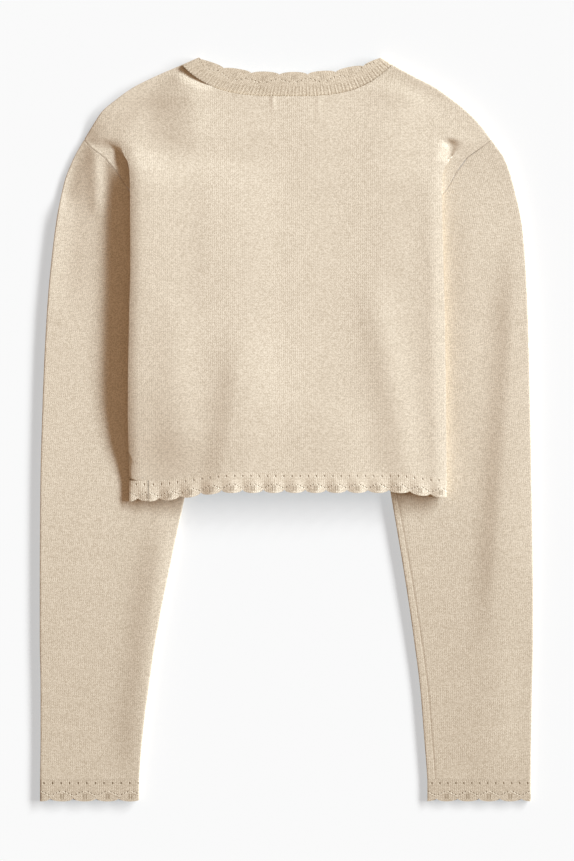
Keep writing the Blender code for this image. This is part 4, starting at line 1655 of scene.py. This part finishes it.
@dataclass
class FrontPanel:
    """A front, which lies beneath, over the sleeve at its side and on the surface in the middle."""

    shape: LaidShape
    wardrobe: Wardrobe
    side: Side
    wall: float = 0.0012
    rows: int = 150
    wrap_steps: int = 20
    steps: int = 80
    first_row: float = 0.3325
    fine_turns: int = 400
    fine_steps: int = 200
    wrap: float = 0.030
    wrap_share: float = 0.3

    @property
    def name(self) -> str:
        """Name of the piece."""
        return f"{self.side.column}_front_panel"

    def line(self, row: Array) -> Array:
        """Rows of a front, from its side edge to the centre.

        Args:
            row: The rows, as a column.

        Returns:
            Rows by columns by three coordinates.
        """
        shape, side, sign = self.shape, self.side, self.side.value
        lines = []
        for place in row[:, 0]:
            turn = float(shape.seam_turn(side, place))
            edge = float(shape.body_edge(side, place)) - sign * shape.gap * (place <= shape.shoulder_y)
            end = shape.centre_half + shape.gap
            if place >= shape.front_neck_y:
                end = max(float(shape.front_neck_x(place)), shape.centre_half) + shape.gap
            x, z = np.zeros(0), np.zeros(0)
            if turn > 1.0:
                turns = np.linspace(turn, 1.0, self.fine_turns)
                x, _, z = shape.back_point(side, np.full(self.fine_turns, place), turns)
                edge = x[-1]
                beyond = run_length(x, z) > shape.gap
                beyond[-1] = False
                x, z = x[beyond], z[beyond]
            flat = edge + (sign * end - edge) * np.linspace(0, 1, self.fine_steps)
            z = np.concatenate([z, shape.front_under(side, flat, np.full(self.fine_steps, place))])
            x = np.concatenate([x, flat])
            length = run_length(x, z)
            near = np.linspace(0, min(self.wrap, self.wrap_share * length[-1]), self.wrap_steps)
            far = np.linspace(near[-1], length[-1], self.steps)[1:]
            even = np.concatenate([near, far])
            x, z = np.interp(even, length, x), np.interp(even, length, z)
            y = shape.front_y(x, np.full(x.shape, place), np.full(x.shape, edge))
            lines.append(np.stack([x, y, z], axis=-1))
        return np.stack(lines)

    def face_down(self, sheet: Sheet) -> Sheet:
        """The sheet in the order for a piece whose outer face is below."""
        return sheet.mirrored() if self.side is Side.LEFT else sheet

    def build(self) -> bpy.types.Object:
        """Makes the panel.

        Returns:
            The new object.
        """
        row = np.linspace(self.first_row, self.shape.hem_row, self.rows)[:, None]
        points = self.line(row)
        length = run_length(points[..., 0], points[..., 2])
        across = length[:, -1:] - length
        cloth = np.stack([across, points[..., 1]], axis=-1)
        seams = np.stack([length, np.broadcast_to(self.first_row - row, length.shape)], axis=-1)
        obj = shell(self.name, self.face_down(Sheet(points, cloth, seams)), self.wall)
        settle(obj, self.wardrobe.plain, [f"{self.side.column}_front"],
               [f"{self.side.column}_sleeve_tube"])
        return obj


@dataclass
class Sleeve:
    """A flattened sleeve on the surface, with its cuff's scalloped edging."""

    shape: LaidShape
    wardrobe: Wardrobe
    side: Side
    wall: float = 0.0012
    half_columns: int = 72
    rows: int = 200
    cuff_depth: float = 0.0202
    lobe_depth: float = 0.0032
    pitch: float = 0.0199
    cuff_rows: int = 18
    cuff_columns: int = 96
    cuff_wall: float = 0.0011
    crowding: float = 0.9
    underarm: dict[Side, tuple[float, float]] = field(
        default_factory=lambda: {Side.LEFT: (-0.0060, -0.0060), Side.RIGHT: (0.0040, 0.0078)}
    )

    @property
    def name(self) -> str:
        """Name of the tube."""
        return f"{self.side.column}_sleeve_tube"

    def start(self, across: Array) -> Array:
        """Where along the garment a column of the sleeve meets the armhole seam.

        Args:
            across: Share of the way from the outer edge to the inner one.

        Returns:
            The places.
        """
        y = np.array([point.y for point in ARMHOLE])
        x = np.array([getattr(point, self.side.column) for point in ARMHOLE])
        outer = lookup(self.shape.sleeves[self.side], "outer", y)
        inner = lookup(self.shape.sleeves[self.side], "inner", y)
        share = (x - outer) / (inner - outer)
        share[0], share[-1] = 0.0, 1.0
        return np.interp(across, share, y) - self.shape.gap

    def ring(self, along: Array, across: Array) -> Array:
        """Rings of the sleeve from its outer edge over the top to its inner edge and back beneath.

        Args:
            along: Share of the way from the armhole to the cuff, as a column.
            across: Share of the way from the outer edge to the inner one, as a row.

        Returns:
            Rows by columns by three coordinates.
        """
        start = self.start(across)
        y = start + (self.shape.cuff_row - start) * along
        outer = self.shape.outline(self.side, y)
        inner = self.shape.inner_edge(self.side, y)
        x = outer + (inner - outer) * across
        top = np.stack([x, y, self.shape.sleeve_top(self.side, x, y)], axis=-1)
        under = np.stack([x, y, self.shape.sleeve_under(self.side, x, y)], axis=-1)
        return np.concatenate([top, under[:, -2:0:-1]], axis=1)

    def across(self, count: int) -> Array:
        """Columns across one face, closer together at the folded edges.

        Args:
            count: How many steps.

        Returns:
            Shares of the way from the outer edge to the inner one, as a row.
        """
        share = np.linspace(0, 1, count + 1)
        crowded = (1 - np.cos(share * math.pi)) / 2
        return (crowded * self.crowding + share * (1 - self.crowding))[None, :]

    def closed(self, points: Array) -> Array:
        """The rings with their first point again at the end."""
        return np.concatenate([points, points[:, :1]], axis=1)

    def build(self) -> bpy.types.Object:
        """Makes the tube.

        Returns:
            The new object.
        """
        along = np.linspace(0, 1, self.rows)[:, None]
        points = self.ring(along, self.across(self.half_columns))
        whole = self.closed(points)
        length = run_length(whole[..., 0], whole[..., 2])
        outer = self.shape.outline(self.side, whole[..., 1])
        inner = self.shape.inner_edge(self.side, whole[..., 1])
        across = (whole[..., 0] - (outer + inner) / 2) * self.side.value
        cloth = np.stack([across, whole[..., 1]], axis=-1)
        from_top = run_length(whole[..., 1].T).T
        top, low = self.underarm[self.side]
        from_inner = length[:, self.half_columns : self.half_columns + 1] - length
        from_underarm = from_inner - (top + (low - top) * ease(along))
        seams = np.stack([from_top, from_underarm], axis=-1)
        obj = ring_shell(self.name, points, cloth, seams, self.wall, self.side)
        settle(obj, self.wardrobe.sleeve, [f"{self.side.column}_sleeve"],
               [])
        return obj

    def build_cuff(self) -> bpy.types.Object:
        """Makes the cuff's edging.

        Returns:
            The new object.
        """
        last = self.closed(self.ring(np.array([[1.0]]), self.across(self.half_columns)))[0]
        length = run_length(last[:, 0], last[:, 2])
        lobes = round(length[-1] / self.pitch)
        even = np.linspace(0, length[-1], self.cuff_columns * 2 + 1)
        x, z = np.interp(even, length, last[:, 0]), np.interp(even, length, last[:, 2])
        place = even / length[-1] * lobes
        reach = self.cuff_depth - self.lobe_depth * (1 - lobe(place))
        down = np.linspace(0, 1, self.cuff_rows)[:, None]
        fall = down * reach[None, :]
        y = self.shape.cuff_row - self.shape.gap - fall
        points = np.stack([np.broadcast_to(x, y.shape), y, np.broadcast_to(z, y.shape)], axis=-1)
        cloth = np.stack([np.broadcast_to(place * self.pitch, fall.shape), fall], axis=-1)
        seams = np.stack([fall, fall], axis=-1)
        name = f"{self.side.column}_cuff_scallops"
        obj = ring_shell(name, points[:, :-1], cloth, seams, self.cuff_wall, self.side)
        settle(obj, self.wardrobe.cuff, [f"{self.side.column}_cuff_edging"],
               [self.name])
        return obj


def ring_shell(
    name: str, points: Array, cloth: Array, seams: Array, wall: float, side: Side
) -> bpy.types.Object:
    """A closed tube of cloth whose rings start at the outer edge and go over the top.

    Args:
        name: Name of the piece.
        points: Rings by points by three coordinates.
        cloth: The cloth's measure, with one column more.
        seams: Distances from its edges, with one column more.
        wall: Thickness.
        side: Which sleeve; the right one's rings are turned round so that the outer face stays outside.

    Returns:
        The new object.
    """
    if side is Side.RIGHT:
        points = np.concatenate([points[:, :1], points[:, :0:-1]], axis=1)
        cloth = cloth[:, ::-1]
        seams = seams[:, ::-1]
    return shell(name, Sheet(points, cloth, seams, ring=True), wall)


@dataclass
class Neckband:
    """One strip round the neck: ribs at its seam, scallops at its free edge."""

    shape: LaidShape
    wardrobe: Wardrobe
    tips: tuple[float, float] = (0.0812, 0.0868)
    tip_y: float = 0.3420
    back_y: float = 0.3283
    front_y: float = 0.2670
    pitch: float = 0.0253
    lobe_depth: float = 0.0030
    wall: float = 0.0011
    rows: int = 20
    free_power: float = 2.6
    front_columns: int = 170
    back_columns: int = 210
    fine_steps: int = 1200
    front_run: float = 0.150
    back_run: float = 0.205
    lobe_shift: float = 0.0030
    tip_round: float = 0.008

    def curve(self, halves: tuple[float, float], low: float, high: float, power: float,
              ends: tuple[float, float], count: int) -> Array:
        """Even points on a curve that rises from its middle as a power of the distance.

        Args:
            halves: Widths of its left and right halves.
            low: Height in the middle.
            high: Height at the ends of the halves.
            power: The power.
            ends: Where across the garment it begins and ends.
            count: How many points.

        Returns:
            Columns x and y.
        """
        def rising(x: Array) -> Array:
            """Height of the curve at a place across."""
            return low + (high - low) * (np.abs(x) / np.where(x < 0, *halves)) ** power

        x = np.linspace(*ends, self.fine_steps)
        length = run_length(x, rising(x))
        even = np.interp(np.linspace(0, length[-1], count), length, x)
        return np.stack([even, rising(even)], axis=-1)

    def front_part(self, side: Side) -> tuple[Array, Array, Array]:
        """Seam edge, free edge and height on one front, from the neck point to the centre front.

        Args:
            side: Half of the garment.

        Returns:
            Columns x and y of both edges, and the heights.
        """
        shape, sign = self.shape, side.value
        end = -sign * shape.centre_half
        count = self.front_columns
        seam = self.curve((shape.neck_half,) * 2, shape.front_neck_y, shape.neck_row,
                          shape.front_neck_power, (sign * shape.neck_half, end), count)
        tip = self.tips[side is Side.RIGHT]
        free = self.curve(self.tips, self.front_y, self.tip_y, self.free_power, (sign * tip, end), count)
        down = np.linspace(0, self.front_run, count)
        z = (shape.rim(side, seam[0, 1]) - shape.gap) * (1 - rise(down / shape.edge_under))
        if side is Side.LEFT:
            z = z + shape.lap(seam[:, 0])
        return seam, free, z

    def back_part(self) -> tuple[Array, Array, Array]:
        """The same on the back, from the left neck point to the right one.

        Returns:
            Columns x and y of both edges, and the heights.
        """
        shape = self.shape
        count = self.back_columns
        seam = self.curve((shape.neck_half,) * 2, shape.back_neck_y + shape.gap, shape.neck_row + shape.gap,
                          shape.back_neck_power, (-shape.neck_half, shape.neck_half), count)
        free = self.curve(self.tips, self.back_y, self.tip_y, self.free_power,
                          (-self.tips[0], self.tips[1]), count)
        inwards = np.minimum(np.linspace(0, 1, count), np.linspace(1, 0, count)) * self.back_run
        crown = shape.back_height(seam[:, 0], np.full(count, shape.neck_row))
        rims = [float(shape.rim(side, seam[0, 1])) for side in Side]
        rim = np.interp(seam[:, 0], (-shape.neck_half, shape.neck_half), rims)
        z = rim + (crown - rim) * rise(inwards / shape.edge_round)
        return seam, free, z

    def build(self) -> bpy.types.Object:
        """Makes the strip.

        Returns:
            The new object.
        """
        left, back, right = self.front_part(Side.LEFT), self.back_part(), self.front_part(Side.RIGHT)
        seam, free, z = (
            np.concatenate([first[:0:-1], middle, last[1:]])
            for first, middle, last in zip(left, back, right)
        )
        along = run_length(free[:, 0], free[:, 1])
        centre = len(left[0]) - 1 + len(back[0]) // 2
        place = (along - along[centre] - self.lobe_shift) / self.pitch
        width = np.linalg.norm(seam - free, axis=-1)
        tips = (along[len(left[0]) - 1], along[-len(right[0])])
        near_tip = np.minimum(np.abs(along - tips[0]), np.abs(along - tips[1]))
        scallop = np.maximum(lobe(place), ease(1 - near_tip / self.tip_round))
        cut = self.lobe_depth * (1 - scallop) / width
        share = np.linspace(0, 1, self.rows)[:, None]
        reach = self.shape.gap / width + share * (1 - cut - self.shape.gap / width)
        x = seam[:, 0] + (free[:, 0] - seam[:, 0]) * reach
        y = seam[:, 1] + (free[:, 1] - seam[:, 1]) * reach
        points = np.stack([x, y, np.broadcast_to(z, x.shape)], axis=-1)[::-1]
        fall = (reach * width)[::-1]
        cloth = np.stack([np.broadcast_to(place * self.pitch, fall.shape), fall], axis=-1)
        obj = shell("neckband_scallops", Sheet(points, cloth, np.stack([fall, fall], axis=-1)), self.wall)
        settle(obj, self.wardrobe.neck, ["neckband"],
               ["back_panel", "left_front_panel", "right_front_panel"])
        return obj


@dataclass
class Fastening:
    """The two bands down the centre front and the buttons that close them."""

    shape: LaidShape
    wardrobe: Wardrobe
    count: int = 7
    radius: float = 0.0055
    thick: float = 0.0018
    top_y: float = 0.2330
    pitch: float = 0.0455
    gap: float = 0.0004
    wall: float = 0.0013
    rows: int = 260
    columns: int = 22
    around: int = 40
    hem_depth: float = 0.0190
    hem_short: float = 0.0032
    lift_clear: float = 0.0072
    lift_over: float = 0.0090
    side_clear: float = 0.0066
    side_over: float = 0.0034
    side_share: float = 0.5

    def places(self) -> Array:
        """Where along the garment the buttons are."""
        return self.top_y - self.pitch * np.arange(self.count)

    def lift(self, x: Array, y: Array) -> Array:
        """Height that the bands ride over the buttons beneath them.

        Args:
            x: Places across the garment.
            y: Places along it.

        Returns:
            The heights.
        """
        near = np.abs(y[..., None] - self.places()).min(axis=-1)
        along = 1 - ease((near - self.lift_clear) / self.lift_over)
        across = 1 - self.side_share * ease((np.abs(x) - self.side_clear) / self.side_over)
        return (self.thick + self.gap) * along * across

    def build_band(self, name: str, node: str, level: float) -> bpy.types.Object:
        """Makes a band at a height above the surface.

        Args:
            name: Name of the piece.
            node: Solid that it stands for.
            level: Height of its lower face above the surface.

        Returns:
            The new object.
        """
        shape = self.shape
        low = shape.hem_row + shape.front_hem_short - self.hem_depth + self.hem_short
        y = np.linspace(shape.front_neck_y - self.gap, low, self.rows)[:, None]
        x = np.linspace(shape.centre_half, -shape.centre_half, self.columns)[None, :]
        x, y = np.broadcast_arrays(x, y)
        points = np.stack([x, y, level + self.lift(x, y)], axis=-1)
        cloth = np.stack([y, x], axis=-1)
        side = shape.centre_half - np.abs(x)
        obj = shell(name, Sheet(points, cloth, np.stack([side, side], axis=-1)), self.wall)
        settle(obj, self.wardrobe.plain, [node],
               ["left_front_panel", "right_front_panel"])
        return obj

    def build_button(self, number: int, y: float) -> bpy.types.Object:
        """Makes a button, its face down: a dished disc with a rim.

        Args:
            number: Its number, from the top.
            y: Its place along the garment.

        Returns:
            The new object.
        """
        around = self.around
        angle = np.linspace(0, math.tau, around, endpoint=False)
        points: list[tuple[float, float, float]] = []
        faces: list[tuple[int, ...]] = []
        face, *circles, back = BUTTON_PROFILE
        for circle in circles:
            r = circle.share * self.radius
            points += [(r * math.cos(a), y + r * math.sin(a), circle.z) for a in angle]
        first, last = len(points), len(points) + 1
        points += [(0.0, y, face.z), (0.0, y, back.z)]
        rings = len(circles)
        for k in range(around):
            j = (k + 1) % around
            faces.append((first, j, k))
            for ring in range(rings - 1):
                a, b = ring * around, (ring + 1) * around
                faces.append((a + k, a + j, b + j, b + k))
            faces.append((last, (rings - 1) * around + k, (rings - 1) * around + j))
        mesh = bpy.data.meshes.new(f"button_{number}_shell")
        mesh.from_pydata(points, [], faces)
        mesh.shade_smooth()
        obj = bpy.data.objects.new(mesh.name, mesh)
        bpy.context.collection.objects.link(obj)
        settle(obj, self.wardrobe.shell, [f"button_{number}"])
        return obj

    def build(self) -> None:
        """Makes the bands and the buttons."""
        self.build_band("button_band_strip", "button_band", self.shape.wall + self.shape.clear)
        self.build_band("buttonhole_band_strip", "buttonhole_band", 0.0)
        for number, y in enumerate(self.places(), start=1):
            self.build_button(number, float(y))


# ---------------------------------------------------------------------------------------------
# The studio
# ---------------------------------------------------------------------------------------------


class Lamp(NamedTuple):
    """A light of the key side: its share of the key, where it stands and the angle it is spread over."""

    name: str
    share: float
    elevation: float
    azimuth: float
    spread: float


@dataclass
class Studio:
    """Pale floor, soft light from the right, and a camera straight above."""

    height: float = 4.0
    centre_y: float = -0.0009
    sensor: float = 24.0
    far: float = 50.0
    floor_reach: float = 6.0
    floor_clear: float = 0.0002
    fill: Colour = (0.35, 0.245, 0.165)
    lamps: tuple[Lamp, ...] = (
        Lamp("window_1", 0.25, 23.0, 0.0, 14.0),
        Lamp("window_2", 0.25, 22.0, 16.0, 13.0),
        Lamp("window_3", 0.25, 21.0, 32.0, 12.0),
        Lamp("window_4", 0.25, 19.0, 48.0, 11.0),
    )

    def build_camera(self) -> None:
        """The camera, whose frame is the photograph's."""
        data = bpy.data.cameras.new("above")
        data.sensor_fit = "VERTICAL"
        data.sensor_height = self.sensor
        data.lens = self.sensor * self.height / (PHOTO_PIXELS[1] * PIXEL)
        data.clip_end = self.far
        camera = bpy.data.objects.new("above", data)
        camera.location = (0.0, self.centre_y, self.height)
        bpy.context.collection.objects.link(camera)
        bpy.context.scene.camera = camera

    def build_light(self) -> None:
        """A row of low lights round the right, like one wide window, and a warm fill from everywhere."""
        for lamp in self.lamps:
            elevation, turn = math.radians(lamp.elevation), math.radians(lamp.azimuth)
            data = bpy.data.lights.new(lamp.name, "SUN")
            data.energy = lamp.share * math.pi / math.sin(elevation)
            data.color = [1 - part for part in self.fill]
            data.angle = math.radians(lamp.spread)
            light = bpy.data.objects.new(lamp.name, data)
            light.rotation_euler = (0.0, math.pi / 2 - elevation, turn)
            bpy.context.collection.objects.link(light)
        world = bpy.data.worlds.new("fill")
        world.use_nodes = True
        background = world.node_tree.nodes["Background"]
        background.inputs["Color"].default_value = (*self.fill, 1.0)
        background.inputs["Strength"].default_value = 1.0
        bpy.context.scene.world = world
        bpy.context.scene.view_settings.view_transform = "Standard"

    def build_floor(self) -> None:
        """The floor."""
        mesh = bpy.data.meshes.new("floor")
        reach = self.floor_reach
        corners = [(-reach, -reach, 0), (reach, -reach, 0), (reach, reach, 0), (-reach, reach, 0)]
        mesh.from_pydata(corners, [], [(0, 1, 2, 3)])
        floor = bpy.data.objects.new("floor", mesh)
        floor.location.z = -self.floor_clear
        floor.data.materials.append(StudioFloor().build())
        bpy.context.collection.objects.link(floor)

    def build(self) -> None:
        """Makes all three."""
        self.build_camera()
        self.build_light()
        self.build_floor()


def main() -> None:
    """Builds the studio and the garment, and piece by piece."""
    logging.basicConfig(level=logging.INFO, format="%(name)s %(message)s")
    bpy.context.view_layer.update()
    Studio().build()
    shape = LaidShape()
    wardrobe = Wardrobe()
    for side in Side:
        sleeve = Sleeve(shape, wardrobe, side)
        sleeve.build()
        sleeve.build_cuff()
    hem = HemEdging(shape, wardrobe)
    back = BackPanel(shape, wardrobe)
    for side in Side:
        front = FrontPanel(shape, wardrobe, side)
        front.build()
        hem.build_front(front, back)
    back.build()
    hem.build_back(back)
    Neckband(shape, wardrobe).build()
    Fastening(shape, wardrobe).build()


if __name__ == "__main__":
    main()
